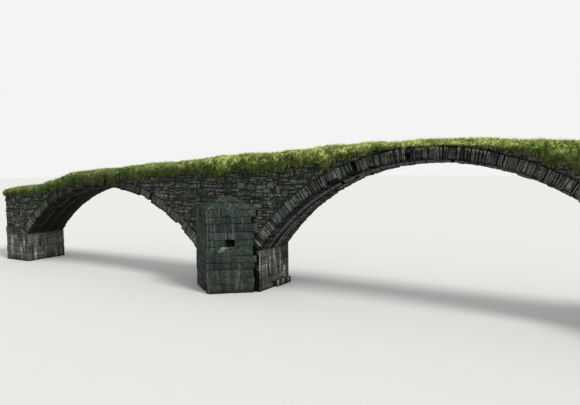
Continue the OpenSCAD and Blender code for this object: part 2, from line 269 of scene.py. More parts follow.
@dataclass
class Stones:
    """Many stones with the same number of cells, each a closed block with worn edges.

    A stone runs along u through two sections, or three where it turns a corner. Each section
    holds its lower and upper edge (v) at the face and at the back of the stone (w).

    Attributes:
        cells: Cells along u, v and w.
        rounding: Radius of the worn edges.
        roughness: How far the weather has moved a point.
        bulge: How far the middle of the face stands out.
        round_back: Whether the edges at the back are worn too.
        turns: Whether the stones turn a corner.
        bare: Which of its sides are open to the air.
        pale_ends: Share of the stones with an upright edge worn pale, which is partly a painted
            highlight.
        highlit_foot: Whether the lower edge of the face gets a painted highlight, drawn as a worn pale edge.
        sections: The sections of each stone.
    """

    cells: tuple[int, int, int]
    rounding: float
    roughness: float
    bulge: float = 0.0
    round_back: bool = False
    turns: bool = False
    bare: tuple[tuple[int, int], ...] = FACE_ONLY
    pale_ends: float = 0.0
    highlit_foot: bool = False
    sections: list[Array] = field(default_factory=list)

    def add(self, *sections: Array) -> None:
        """Adds one stone from its sections, each a (2, 2, 3) array over v and w."""
        self.sections.append(np.stack(sections))

    def _cuts(self, length: Array, radius: Array, cells: int, round_end: bool) -> Array:
        """Finds where the cell lines lie along one axis.

        Args:
            length: How long each stone is along it.
            radius: How far each stone is rounded.
            cells: How many cells lie along it.
            round_end: Whether the far end is rounded too.

        Returns:
            An (n, cells + 1) array.
        """
        inner = cells - 1 if round_end else cells
        far = length - radius if round_end else length
        spread = radius[:, None] + (far - radius)[:, None] * np.linspace(0, 1, inner)
        last = [length[:, None]] if round_end else []
        return np.concatenate([np.zeros((len(length), 1)), spread] + last, axis=1)

    def _exposure_and_light(self, places: Array, count: int, seed: int) -> Array:
        """Finds how far each point of each stone stands in the open, and which edges are pale: worn, and
        partly a painted highlight.

        Args:
            places: The points of one stone as whole-number places.
            count: How many stones there are.
            seed: Which random draws choose the worn edges.

        Returns:
            A (count, points) array.
        """
        value = np.zeros(len(places))
        for axis, end in self.bare:
            on_side = places[:, axis] == end * self.cells[axis]
            rim = np.zeros(len(places), bool)
            for other in range(3):
                if other != axis:
                    rim |= (places[:, other] == 0) | (places[:, other] == self.cells[other])
            value = np.maximum(value, np.where(on_side, np.where(rim, RIM_OPEN_AIR, 1.0), 0.0))
        air = np.tile(value, (count, 1))
        rng = np.random.default_rng(seed)
        on_face = places[:, 2] == 0
        if self.turns:
            quoin = np.flatnonzero(on_face & (places[:, 0] == self.cells[0] // 2))
            air[:, quoin] = rng.uniform(WORN_AND_LIT_QUOIN, WEAR_AND_HIGHLIGHT, (count, len(quoin)))
        if self.highlit_foot:
            air[:, on_face & (places[:, 1] <= 1)] = WEAR_AND_HIGHLIGHT
        for end in (0, self.cells[0]):
            worn = rng.random(count) < self.pale_ends
            air[np.ix_(worn, on_face & (places[:, 0] == end))] = WEAR_AND_HIGHLIGHT
        return air

    def _rounded(self, places: Array, length: Array, runs: Array) -> Array:
        """Places the skin's points of each stone in its own straight frame, with worn edges.

        Args:
            places: The points of one stone as whole-number places.
            length: The sizes of each stone, (n, 3).
            runs: The distances between its sections, (n, 1), or (n, 2) where it turns.

        Returns:
            An (n, points, 3) array in metres along u, v and w.
        """
        radius = np.minimum(self.rounding, MOST_ROUNDING * length.min(axis=1))
        rounded = (True, True, self.round_back)
        cuts = [self._cuts(length[:, axis], radius, self.cells[axis], rounded[axis]) for axis in range(3)]
        middle = self.cells[0] // 2
        if self.turns:
            for step in (-1, 0, 1):
                cuts[0][:, middle + step] = runs[:, 0] + step * radius * QUOIN_SPACING
        local = np.stack([cut[:, places[:, axis]] for axis, cut in enumerate(cuts)], axis=-1)
        radius = radius[:, None, None]
        held = np.clip(local, radius, length[:, None] - radius * np.array(rounded))
        out = local - held
        reach = np.maximum(np.linalg.norm(out, axis=-1, keepdims=True), 1e-9)
        local = held + out * np.where(reach > 1e-8, radius / reach, 0)
        if self.turns:
            local[:, (places[:, 0] == middle) & (places[:, 2] == 0), 2] += radius[:, 0] * QUOIN_WEAR
        return local

    def mesh(self, seed: int) -> Mesh:
        """Builds all the stones.

        Args:
            seed: Which noise wears them.

        Returns:
            One mesh of closed blocks.
        """
        places, quads = grid_of_box(self.cells)
        if not self.sections:
            return Mesh(np.zeros((0, 3)), np.zeros(0, int), np.zeros(0, int), np.zeros(0))
        sections = np.stack(self.sections)
        count, knots = sections.shape[:2]
        runs = np.linalg.norm(np.diff(sections[:, :, :, 0].mean(axis=2), axis=1), axis=-1)
        length = np.stack([
            runs.sum(axis=1),
            np.linalg.norm(sections[:, :, 1] - sections[:, :, 0], axis=-1).mean(axis=(1, 2)),
            np.linalg.norm(sections[:, :, :, 1] - sections[:, :, :, 0], axis=-1).mean(axis=(1, 2)),
        ], axis=-1)
        share = self._rounded(places, length, runs) / length[:, None]
        dome = 16 * share[..., 0] * (1 - share[..., 0]) * share[..., 1] * (1 - share[..., 1])
        depth = share[..., 2] - np.where(places[:, 2] == 0, self.bulge * dome, 0) / length[:, 2, None]
        knot_at = np.cumsum(runs, axis=1) / runs.sum(axis=1)[:, None]
        knot_at = np.concatenate([np.zeros((count, 1)), knot_at], axis=1)
        rows = np.arange(count)[:, None]
        run = sum((share[..., 0] > knot_at[:, knot, None]).astype(int) for knot in range(1, knots - 1))
        run = run + np.zeros(dome.shape, int)
        along = (share[..., 0] - knot_at[rows, run]) / (knot_at[rows, run + 1] - knot_at[rows, run])
        points = np.zeros(share.shape)
        for knot, part in ((run, 1 - along), (run + 1, along)):
            for v, up in enumerate((1 - share[..., 1], share[..., 1])):
                for w, back in enumerate((1 - depth, depth)):
                    points += sections[rows, knot, v, w] * (part * up * back)[..., None]
        flat = points.reshape(-1, 3)
        own = flat + np.repeat(np.arange(count) * STONE_SHIFT, len(places))[:, None]
        flat = flat + noise_vectors(own, LUMP_SIZE, seed) * self.roughness
        flat = flat + noise_vectors(own, GRIT_SIZE, seed + 7) * self.roughness * GRIT_SHARE
        first = sections[:, 0, 0, 0]
        u, v, w = sections[:, 1, 0, 0] - first, sections[:, 0, 1, 0] - first, sections[:, 0, 0, 1] - first
        handed = np.einsum("ij,ij->i", np.cross(u, v), w) > 0
        numbered = quads[None] + (np.arange(count) * len(places))[:, None, None]
        numbered = np.where(handed[:, None, None], numbered, numbered[:, :, ::-1])
        air = self._exposure_and_light(places, count, seed).ravel()
        return Mesh(flat, numbered.ravel(), np.full(count * len(quads), 4), air)


Parts = Sequence[tuple[Mesh, Material]]


def make_piece(name: str, parts: Parts, held: bool = True) -> Object:
    """Makes one object from meshes that each have a material.

    Args:
        name: The object's name.
        parts: The meshes and what each is made of.
        held: Whether it is part of the bridge, shaded smooth and kept inside the CAD box.

    Returns:
        The object, linked to the scene at the origin.
    """
    whole = Mesh.joined([mesh for mesh, _ in parts])
    verts = np.clip(whole.verts, np.array(CAD_BOX[0]), np.array(CAD_BOX[1])) if held else whole.verts
    data = bpy.data.meshes.new(name)
    data.vertices.add(len(verts))
    data.vertices.foreach_set("co", verts.astype(np.float32).ravel())
    data.loops.add(len(whole.corners))
    data.loops.foreach_set("vertex_index", whole.corners.astype(np.int32))
    data.polygons.add(len(whole.sizes))
    starts = np.concatenate([[0], np.cumsum(whole.sizes)[:-1]])
    data.polygons.foreach_set("loop_start", starts.astype(np.int32))
    slots = np.repeat(np.arange(len(parts)), [len(mesh.sizes) for mesh, _ in parts])
    data.polygons.foreach_set("material_index", slots.astype(np.int32))
    data.polygons.foreach_set("use_smooth", held & (whole.sizes <= 4))
    data.update(calc_edges=True)
    air = data.attributes.new("exposure_and_light", "FLOAT", "POINT").data
    air.foreach_set("value", whole.exposure_and_light.astype(np.float32))
    for _, material in parts:
        data.materials.append(material)
    made = bpy.data.objects.new(name, data)
    bpy.context.scene.collection.objects.link(made)
    return made


# The forms that the frame's nodes give


RING_DEPTHS, HALVINGS = (0.05, 0.6), 50


@dataclass(frozen=True)
class ArchForm:
    """A segmental arch: a ring of stones on part of a circle."""

    mid_x: float
    span: float
    spring_z: float
    rise: float
    depth: float

    @property
    def radius(self) -> float:
        """Radius of the soffit."""
        return (self.span ** 2 / 4 + self.rise ** 2) / (2 * self.rise)

    @property
    def centre_z(self) -> float:
        """Height of the circle's centre, which is below the ground."""
        return self.spring_z + self.rise - self.radius

    @property
    def half_angle(self) -> float:
        """Half of the angle that the arch spans, in radians."""
        return math.asin(self.span / 2 / self.radius)

    @property
    def skew(self) -> Pair:
        """How far out and up the back of the ring's last stone lies from its springing."""
        return self.depth * math.sin(self.half_angle), self.depth * math.cos(self.half_angle)

    def at(self, angle: float, radius: float) -> Pair:
        """X and Z of a point at an angle from the crown, positive towards +X."""
        return self.mid_x + radius * math.sin(angle), self.centre_z + radius * math.cos(angle)

    def back_z(self, x: float) -> float:
        """Finds the back of the ring.

        Args:
            x: A place along the bridge.

        Returns:
            Its height there, or FAR_BELOW where the ring doesn't reach.
        """
        across = abs(x - self.mid_x)
        reach = self.radius + self.depth
        if across >= reach * math.sin(self.half_angle):
            return FAR_BELOW
        return self.centre_z + math.sqrt(reach ** 2 - across ** 2)

    @classmethod
    def from_frame(cls, ring: str, low_x: float, high_x: float) -> "ArchForm":
        """Reads an arch from its face ring.

        Args:
            ring: The ring's node.
            low_x: Where its span starts.
            high_x: Where its span ends.

        Returns:
            The arch, with the depth that fits how far the ring's skewed ends reach.
        """
        low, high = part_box(ring)
        reach = (high.x - low.x - (high_x - low_x)) / 2
        small, large = RING_DEPTHS
        for _ in range(HALVINGS):
            depth = (small + large) / 2
            form = cls((low_x + high_x) / 2, high_x - low_x, low.z, high.z - low.z - depth, depth)
            if form.skew[0] < reach:
                small = depth
            else:
                large = depth
        return form


@dataclass(frozen=True)
class DeckForm:
    """The tops of the walls and of the earth bed along the bridge."""

    stations: Array
    wall_tops: Array
    bed_tops: Array

    def wall_z(self, x: Union[float, Array]) -> Union[float, Array]:
        """Height of the top of the walls."""
        return np.interp(x, self.stations, self.wall_tops)

    def bed_z(self, x: Union[float, Array]) -> Union[float, Array]:
        """Height of the top of the earth bed in the middle of the bridge."""
        return np.interp(x, self.stations, self.bed_tops)

    @classmethod
    def from_frame(cls, beds: Sequence[str]) -> "DeckForm":
        """Reads the deck from the corners of its beds.

        Args:
            beds: The nodes of the earth beds.

        Returns:
            The deck, with a station wherever the beds have corners.
        """
        points = np.concatenate([[v.co[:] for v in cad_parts[bed].data.vertices] for bed in beds])
        stations = np.unique(points[:, 0].round(3))
        near = [points[abs(points[:, 0] - x) < 2 * MM, 2] for x in stations]
        return cls(stations, np.array([z.min() for z in near]), np.array([z.max() for z in near]))


@dataclass(frozen=True)
class BridgeForm:
    """The bridge's driving sizes, read from the frame. Places along X are the right half's."""

    half_w: float
    pier_low: float
    pier_high: float
    abutment_x: float
    end_x: float
    wall_t: float
    face_ring_w: float
    rib_drop: float
    main: ArchForm
    left: ArchForm
    right: ArchForm
    deck: DeckForm

    @classmethod
    def from_frame(cls) -> "BridgeForm":
        """Reads every size that more than one piece needs.

        Returns:
            The sizes, with the right half's for both halves.
        """
        pier_low, pier_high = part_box("right_pier")
        abutment_low, abutment_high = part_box("right_abutment")
        wall_low, wall_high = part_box("right_front_pier_wall")
        ring_low, ring_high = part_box("main_front_ring")
        main = ArchForm.from_frame("main_front_ring", -pier_low.x, pier_low.x)
        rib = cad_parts["main_front_rib"].data.vertices
        rib_crown = min(v.co.z for v in rib if abs(v.co.x) < 0.1)
        return cls(
            half_w=pier_high.y,
            pier_low=pier_low.x,
            pier_high=pier_high.x,
            abutment_x=abutment_low.x,
            end_x=abutment_high.x,
            wall_t=wall_high.y - wall_low.y,
            face_ring_w=ring_high.y - ring_low.y,
            rib_drop=main.spring_z + main.rise - rib_crown,
            main=main,
            left=ArchForm.from_frame("left_front_ring", -abutment_low.x, -pier_high.x),
            right=ArchForm.from_frame("right_front_ring", pier_high.x, abutment_low.x),
            deck=DeckForm.from_frame(["left_turf_bed", "main_turf_bed", "right_turf_bed"]),
        )


# Finishes


def linear(colour: str) -> tuple[float, float, float, float]:
    """Turns an sRGB hex colour into the linear colour that shaders take.

    Args:
        colour: The colour, as "#rrggbb".

    Returns:
        Red, green, blue and a full alpha.
    """
    parts = [int(colour[place:place + 2], 16) / 255 for place in (1, 3, 5)]
    bent = [part / 12.92 if part <= 0.04045 else ((part + 0.055) / 1.055) ** 2.4 for part in parts]
    return bent[0], bent[1], bent[2], 1.0


Input = Union[float, tuple, NodeSocket]
MIX_A, MIX_B, MIX_OUT = 6, 7, 2
# A MapRange node takes its value as input 0, from the range 1 to 2 into the range 3 to 4.


def add_node(tree: NodeTree, kind: str, inputs: Optional[dict[Union[int, str], Input]] = None,
             **settings: object) -> Node:
    """Adds a node with its settings and links.

    Args:
        tree: The material's node tree.
        kind: The node's type name, after ShaderNode.
        inputs: Values or sockets for its inputs, by name or number.
        settings: Attributes of the node itself. Stops, for a ramp, are (place, hex colour) pairs.

    Returns:
        The node.
    """
    node = tree.nodes.new("ShaderNode" + kind)
    stops = settings.pop("stops", None)
    for name, value in settings.items():
        setattr(node, name, value)
    if stops:
        elements = node.color_ramp.elements
        while len(elements) < len(stops):
            elements.new(0.5)
        for element, (place, colour) in zip(elements, stops):
            element.position = place
            element.color = linear(colour)
    for key, value in (inputs or {}).items():
        if isinstance(value, NodeSocket):
            tree.links.new(value, node.inputs[key])
        else:
            node.inputs[key].default_value = value
    return node


def blank_material(name: str, roughness: float, ior: float, gloss: float = 0.1) -> tuple[Material, Node]:
    """Makes a material with a Principled shader whose constants are on its own sockets.

    Args:
        name: The finish's name.
        roughness: How dull it is.
        ior: Its refractive index.
        gloss: How much of the plain reflection of that index the weathered surface keeps.

    Returns:
        The material and its shader node.
    """
    material = bpy.data.materials.new(name)
    material.use_nodes = True
    shader = material.node_tree.nodes["Principled BSDF"]
    shader.inputs["Roughness"].default_value = roughness
    shader.inputs["IOR"].default_value = ior
    shader.inputs["Specular IOR Level"].default_value = gloss
    return material, shader


# How noise is drawn out along the axes: less is longer.
EVEN = (1.0, 1.0, 1.0)
BEDDED = (0.22, 0.22, 1.0)
DOWN_THE_FACE = (1.0, 1.0, 0.1)
ACROSS_THE_SOFFIT = (0.07, 1.0, 0.07)
PATCH_MM, LICHEN_MM = 330.0, 48.0
DAMP_Z, DAMP_FADE = 0.12, 0.16
SPRING_LEVEL = 0.95


@dataclass(frozen=True)
class Sandstone:
    """Quarried sandstone, split or squared and long weathered.

    To the eye it is a dull, slightly gritty brown-grey stone: no two stones have one colour, its
    beds show as faint level streaks, and moss, damp, soot-dark algae and lime lie over the joints
    and the stones alike. What faces down, and what exposure_and_light marks as shaded, is darker by painted
    shade, and the pale worn edges are partly a painted highlight.

    Attributes:
        name: The finish's name.
        tones: The colours that single stones take.
        grain_mm, bed_mm, pit_mm: Sizes of the grit, the natural beds and the pits. The grit is drawn
            coarser than the real 0.5 mm so that it shows.
        stain_mm, streak_mm, lime_mm: Sizes of the dark stains, the dark runs of rain and the pale
            runs of lime.
        stains, streaks, lime, lichen, moss: How strong those, the pale spots and the moss are.
        algae, joints: How far what faces down, and the joints and edges, are darkened. What faces
            down is darkened by algae and by painted shade, and the joints by their dirt and by the
            painted shade that exposure_and_light carries.
        arris: How pale the worn edges are, which is partly a painted highlight.
        run: How the runs are drawn out along the axes.
        seat, seat_from: How far the colour changes towards the springing, and from which height. On the
        piers and abutments it darkens their tops, as painted shade under the springing.
        gloss: How much of the plain reflection of sandstone is left.
        streak_colour, lime_colour, algae_and_shade_colour: The colours of the runs and of what faces down,
            which is algae and painted shade.
        joint_and_shade_colour, arris_colour, seat_colour: The colours in the joints and of the painted shade
            that exposure_and_light carries, on the worn edges with their painted highlight, and towards the
            springing.
    """

    name: str
    tones: tuple[str, ...]
    grain_mm: float = 14.0
    bed_mm: float = 26.0
    pit_mm: float = 62.0
    stain_mm: float = 420.0
    streak_mm: float = 70.0
    lime_mm: float = 90.0
    stains: float = 0.6
    streaks: float = 0.45
    lime: float = 0.2
    lichen: float = 0.3
    moss: float = 0.35
    algae: float = 0.6
    joints: float = 0.8
    arris: float = 0.55
    run: Triple = DOWN_THE_FACE
    seat: float = 0.0
    seat_from: float = 1.7
    gloss: float = 0.1
    streak_colour: str = "#1b1e1b"
    lime_colour: str = "#9a9a8c"
    algae_and_shade_colour: str = "#1c1e1d"
    joint_and_shade_colour: str = "#15160f"
    arris_colour: str = "#9c8f74"
    seat_colour: str = "#5d5f57"

    def build(self) -> Material:
        """Makes the material.

        Returns:
            The material, with each kind of weathering mixed over the last.
        """
        material, shader = blank_material(self.name, roughness=0.92, ior=1.54, gloss=self.gloss)
        tree = material.node_tree
        place = add_node(tree, "TexCoord").outputs["Object"]
        geometry = add_node(tree, "NewGeometry")
        down = add_node(tree, "SeparateXYZ", {0: geometry.outputs["Normal"]}).outputs[2]
        level = add_node(tree, "SeparateXYZ", {0: place}).outputs[2]
        exposure_and_light = add_node(tree, "Attribute", attribute_name="exposure_and_light").outputs["Fac"]
        noise = {}
        for pattern, scale, size_mm, detail in (
            ("grain", EVEN, self.grain_mm, 5.0),
            ("beds", BEDDED, self.bed_mm, 4.0),
            ("pits", EVEN, self.pit_mm, 5.0),
            ("patches", EVEN, PATCH_MM, 7.0),
            ("stains", EVEN, self.stain_mm, 4.0),
            ("streaks", self.run, self.streak_mm, 4.0),
            ("lime", self.run, self.lime_mm, 4.0),
            ("lichen", EVEN, LICHEN_MM, 3.0),
        ):
            stretched = add_node(tree, "Mapping", {"Vector": place, "Scale": scale}).outputs[0]
            noise[pattern] = add_node(tree, "TexNoise", {
                "Vector": stretched, "Scale": 1 / (size_mm * MM), "Detail": detail, "Roughness": 0.66,
            }).outputs[0]
        parts = add_node(tree, "Math", {0: noise["grain"], 1: noise["beds"]}, operation="ADD")
        relief, mossy, worn, wet = (
            add_node(tree, "Math", {0: source, 1: share, 2: under}, operation="MULTIPLY_ADD").outputs[0]
            for source, share, under in (
                (noise["pits"], 1.7, parts.outputs[0]), (down, 0.16, noise["patches"]),
                (noise["pits"], 0.9, exposure_and_light), (noise["patches"], 0.24, level)))
        last = len(self.tones) - 1
        tone = add_node(tree, "ValToRGB", {0: geometry.outputs["Random Per Island"]},
                        stops=[(number / last, colour) for number, colour in enumerate(self.tones)])
        shade = add_node(tree, "MapRange", {0: relief, 1: 1.48, 2: 2.22, 3: 0.14, 4: 1.96})
        colour = add_node(tree, "Mix", {0: 1.0, MIX_A: tone.outputs[0], MIX_B: shade.outputs[0]},
                          data_type="RGBA", blend_type="MULTIPLY").outputs[MIX_OUT]
        # What each layer follows, where it begins and is full, its strength and its colour.
        layers = (
            (noise["stains"], 0.47, 0.64, self.stains, "#23251f"),
            (noise["streaks"], 0.5, 0.64, self.streaks, self.streak_colour),
            (noise["lime"], 0.54, 0.68, self.lime, self.lime_colour),
            (noise["lichen"], 0.6, 0.68, self.lichen, "#85887b"),
            (mossy, 0.5, 0.66, self.moss, "#39472c"),
            # Darker on what faces down: algae, and painted shade under the arches.
            (down, -0.25, -0.7, self.algae, self.algae_and_shade_colour),
            (wet, DAMP_Z + DAMP_FADE, DAMP_Z, 0.8, "#191d18"),
            # Dark joints, and the painted shade that exposure_and_light carries under the turf and on the
            # soffits.
            (exposure_and_light, 0.85, 0.05, self.joints, self.joint_and_shade_colour),
            (level, self.seat_from, SPRING_LEVEL, self.seat, self.seat_colour),
            # Pale worn edges, which are partly a painted highlight.
            (worn, 1.66, 2.3, self.arris, self.arris_colour),
        )
        for source, none, full, strength, tint in layers:
            mask = add_node(tree, "MapRange", {0: source, 1: none, 2: full, 3: 0.0, 4: strength})
            colour = add_node(tree, "Mix", {0: mask.outputs[0], MIX_A: colour, MIX_B: linear(tint)},
                              data_type="RGBA").outputs[MIX_OUT]
        tree.links.new(colour, shader.inputs["Base Color"])
        bump = add_node(tree, "Bump", {"Strength": 0.7, "Distance": 9 * MM, "Height": relief})
        tree.links.new(bump.outputs[0], shader.inputs["Normal"])
        return material


@dataclass(frozen=True)
class LimeMortar:
    """Old lime mortar and earth, washed back deep in the joints.

    To the eye it is a dark, crumbly line between the stones, lighter only where light reaches it.
    """

    name: str = "lime_mortar"
    dark: str = "#0d0d0b"
    pale: str = "#26251f"
    lump_mm: float = 25.0

    def build(self) -> Material:
        """Makes the material.

        Returns:
            The material, coloured and pitted by one noise.
        """
        material, shader = blank_material(self.name, roughness=0.97, ior=1.5)
        tree = material.node_tree
        place = add_node(tree, "TexCoord").outputs["Object"]
        lumps = add_node(tree, "TexNoise", {
            "Vector": place, "Scale": 1 / (self.lump_mm * MM), "Detail": 5.0, "Roughness": 0.7,
        }).outputs[0]
        colour = add_node(tree, "ValToRGB", {0: lumps}, stops=[(0.35, self.dark), (0.75, self.pale)])
        tree.links.new(colour.outputs[0], shader.inputs["Base Color"])
        bump = add_node(tree, "Bump", {"Strength": 0.8, "Distance": 8 * MM, "Height": lumps})
        tree.links.new(bump.outputs[0], shader.inputs["Normal"])
        return material


@dataclass(frozen=True)
class ShortTurf:
    """Earth with short spring turf on it, dry in places and dark with roots where it overhangs.

    To the eye it is a soft mat: bright yellow-green on its lumps, deep green between them, and
    brown earth and roots on whatever faces down. Part of that is painted light: painted shade
    between the tufts, along the hem, at the blades' roots and on the deeper grass towards the
    ends, and a painted highlight on the sunlit blades.

    Attributes:
        name: The finish's name.
        tips: Colour of the new growth.
        blades: Colour of the mat.
        shade: Colour deep between the tufts and along the hem, as painted shade, and the darkest tone
        of the grass.
        straw: Colour of the dry patches.
        sunlit: Colour of the blades that catch the light.
        earth, dry_earth: Colours of the bare earth below the overhang and of its dry crumbs.
        deep: Colour of the deeper grass towards the ends, which is partly painted shade.
        tuft_mm, clump_mm, swathe_mm, dry_mm: Sizes of the tufts, their clumps, the lighter and
            darker stretches, and the dry patches.
    """

    name: str = "short_turf"
    tips: str = "#dfe88e"
    blades: str = "#90a54a"
    shade: str = "#35471d"
    straw: str = "#9a8a58"
    sunlit: str = "#f0f2ae"
    earth: str = "#15140e"
    dry_earth: str = "#3d3524"
    deep: str = "#46623d"
    tuft_mm: float = 52.0
    clump_mm: float = 120.0
    swathe_mm: float = 500.0
    dry_mm: float = 700.0

    def build(self) -> Material:
        """Makes the material.

        Returns:
            The material, green by its noises and earthy where exposure_and_light is low.
        """
        material, shader = blank_material(self.name, roughness=0.95, ior=1.45)
        tree = material.node_tree
        place = add_node(tree, "TexCoord").outputs["Object"]
        geometry = add_node(tree, "NewGeometry")
        exposure_and_light = add_node(tree, "Attribute", attribute_name="exposure_and_light").outputs["Fac"]
        tufts, clumps, total, dry = (
            add_node(tree, "TexNoise", {
                "Vector": place, "Scale": 1 / (size_mm * MM), "Detail": detail, "Roughness": roughness,
            }).outputs[0]
            for size_mm, detail, roughness in ((self.tuft_mm, 6.0, 0.75), (self.clump_mm, 3.0, 0.6),
                                               (self.swathe_mm, 4.0, 0.7), (self.dry_mm, 5.0, 0.65)))
        for source, share in ((geometry.outputs["Random Per Island"], 0.4), (clumps, 1.0), (tufts, 1.8)):
            total = add_node(tree, "Math", {0: source, 1: share, 2: total},
                             operation="MULTIPLY_ADD").outputs[0]
        height = add_node(tree, "MapRange", {0: total, 1: 1.8, 2: 2.4, 3: 0.0, 4: 1.0})
        colour = add_node(tree, "ValToRGB", {0: height.outputs[0]},
                          stops=[(0.0, self.shade), (0.5, self.blades), (0.95, self.tips)]).outputs[0]
        along = add_node(tree, "SeparateXYZ", {0: place}).outputs[0]
        outward = add_node(tree, "Math", {0: along}, operation="ABSOLUTE").outputs[0]
        toward_ends = add_node(tree, "MapRange", {0: outward, 1: 5.0, 2: 9.0, 3: 0.0, 4: 0.03}).outputs[0]
        drier = add_node(tree, "Math", {0: dry, 1: toward_ends}, operation="ADD").outputs[0]
        crumbs = add_node(tree, "ValToRGB", {0: tufts},
                          stops=[(0.36, self.earth), (0.66, self.dry_earth)]).outputs[0]
        # What each layer follows, where it begins and is full, its strength and its colour.
        for source, none, full, strength, tint in (
            (drier, 0.5, 0.7, 0.8, linear(self.straw)),
            # Deeper green towards the ends: darker grass, partly painted shade.
            (outward, 4.5, 8.5, 0.55, linear(self.deep)),
            # Painted shade in the hollows between the tufts, along the hem and at the blades' roots.
            (exposure_and_light, 0.9, 0.6, 0.8, linear(self.shade)),
            (exposure_and_light, 0.66, 0.1, 0.94, crumbs),
            # Painted highlight on the sunlit blades.
            (exposure_and_light, 1.1, 1.9, 0.7, linear(self.sunlit)),
        ):
            mask = add_node(tree, "MapRange", {0: source, 1: none, 2: full, 3: 0.0, 4: strength})
            colour = add_node(tree, "Mix", {0: mask.outputs[0], MIX_A: colour, MIX_B: tint},
                              data_type="RGBA").outputs[MIX_OUT]
        tree.links.new(colour, shader.inputs["Base Color"])
        bump = add_node(tree, "Bump", {"Strength": 0.9, "Distance": 14 * MM, "Height": tufts})
        tree.links.new(bump.outputs[0], shader.inputs["Normal"])
        return material


@dataclass(frozen=True)
class StudioCard:
    """Matt white card, rolled out under the model: it takes a soft shadow and nothing else."""

    name: str = "studio_card"
    colour: str = "#e4e2dd"
    fibre_mm: float = 1000 / 3

    def build(self) -> Material:
        """Makes the material.

        Returns:
            The material, mottled by a hundredth.
        """
        material, shader = blank_material(self.name, roughness=1.0, ior=1.45)
        tree = material.node_tree
        place = add_node(tree, "TexCoord").outputs["Object"]
        fibre = add_node(tree, "TexNoise", {
            "Vector": place, "Scale": 1 / (self.fibre_mm * MM), "Detail": 2.0,
        })
        level = add_node(tree, "MapRange", {0: fibre.outputs[0], 1: 0.0, 2: 1.0, 3: 0.99, 4: 1.01})
        tint = add_node(tree, "Mix", {0: 1.0, MIX_A: linear(self.colour), MIX_B: level.outputs[0]},
                        data_type="RGBA", blend_type="MULTIPLY")
        tree.links.new(tint.outputs[MIX_OUT], shader.inputs["Base Color"])
        return material


# Squared blocks of the piers: pale lime and dark rain have run down them, and their tops are
# darker by painted shade under the springing.
WASHED_STONE = Sandstone(
    "washed_sandstone", ("#444843", "#5f615a", "#343934", "#717166", "#4f524c", "#595951"), moss=0.2,
    lime=0.95, streaks=0.95, streak_mm=92.0, lime_mm=104.0, joints=0.2, stains=0.35, lime_colour="#d6d5c4",
    streak_colour="#0c0f0c", seat=0.45, seat_from=0.6, seat_colour="#262a2a")
# Ring stones of the main arch: blue-grey and buff by turns, with deep joints and pale edges,
# partly a painted highlight, and darker where they face down, by algae and painted shade.
SPLIT_STONE = Sandstone(
    "split_sandstone", ("#373f41", "#646a65", "#2b3235", "#817f73", "#4a5253", "#5b605c"), moss=0.25,
    lime=0.25, stain_mm=300.0, joints=0.95, arris=0.7, algae=0.88, algae_and_shade_colour="#141c26",
    joint_and_shade_colour="#0d0e0c", arris_colour="#a69c86")
# The front soffit of the main arch: cold, damp and nearly without gloss, and darker still by
# painted shade.
DAMP_SHADED_STONE = Sandstone(
    "damp_sandstone", ("#262c31", "#3a4147", "#1b2025", "#2f353a"), moss=0.1, lime=0.5, streaks=0.95,
    run=ACROSS_THE_SOFFIT, streak_mm=140.0, lime_mm=150.0, joints=0.95, arris=0.55, arris_colour="#7f8080",
    lime_colour="#7c7d7c", joint_and_shade_colour="#0a0c0e", gloss=0.03)
FINISHES = {
    # Dark green-grey blocks, darker than the piers' by painted shade, worn pale along their
    # arrises, which is partly a painted highlight.
    "cutwater": Sandstone(
        "squared_sandstone", ("#2d3938", "#3a4641", "#252f30", "#454a42", "#333f3b", "#393f38"), pit_mm=46.0,
        moss=0.3, lime=0.25, lichen=0.25, streaks=0.6, joints=0.25, arris=0.85, arris_colour="#aca793",
        seat=0.14, seat_from=1.15, seat_colour="#1e2a2a"),
    "pier": WASHED_STONE,
    # The same blocks at the abutments, greener and less limed.
    "abutment": replace(WASHED_STONE, name="mossy_sandstone", moss=0.4, lime=0.4),
    "voussoir": SPLIT_STONE,
    "soffit": DAMP_SHADED_STONE,
    # The far half of that soffit, painted far paler as if bounce light reached it, and paler still
    # towards the springing.
    "far_soffit": replace(
        DAMP_SHADED_STONE, name="bounce_lit_sandstone", tones=("#4d5252", "#7e8176", "#262b2c", "#969387"), moss=0.12,
        lime=0.95, streak_mm=130.0, lime_mm=145.0, arris=0.7, arris_colour="#a09c8a", lime_colour="#bdb8a4",
        joint_and_shade_colour="#0c0d0e", seat=0.3),
    # The soffits of the side arches, almost black: painted shade.
    "shaded_soffit": replace(
        DAMP_SHADED_STONE, name="shaded_sandstone", tones=("#181b1d", "#202426", "#131517", "#1c1e1e"), moss=0.2,
        lime=0.3, streaks=0.8, streak_mm=150.0, lime_mm=170.0, joints=0.8, arris=0.6,
        arris_colour="#4d4c44", lime_colour="#4a4c43", joint_and_shade_colour="#15160f"),
    # Ring stones of the side arches: warmer, and paler from face to face.
    "side_voussoir": replace(
        SPLIT_STONE, name="washed_voussoir", tones=("#494e4b", "#797a6f", "#363b3f", "#999283", "#5d615b"),
        lime=0.32, algae=0.9, algae_and_shade_colour="#11161a", joint_and_shade_colour="#15160f", arris_colour="#a8a28f"),
    # Small stones of the walls: brown-grey, mossy and low in contrast.
    "rubble": Sandstone(
        "rubble_sandstone", ("#3d4440", "#5b635d", "#2e3531", "#6f6d5e", "#4b524c", "#383e38"), moss=0.45,
        lime=0.22, joints=0.5, stain_mm=330.0, arris=0.7),
    "mortar": LimeMortar(),
    "wall_mortar": LimeMortar("wall_mortar", dark="#191b17", pale="#38382f"),
    # Nearly black mortar for the deep gaps at the cutwaters and the piers' faces: painted shadow.
    "painted_shadow_mortar": LimeMortar("painted_shadow_mortar", dark="#050606", pale="#12130f"),
    "turf": ShortTurf(),
}


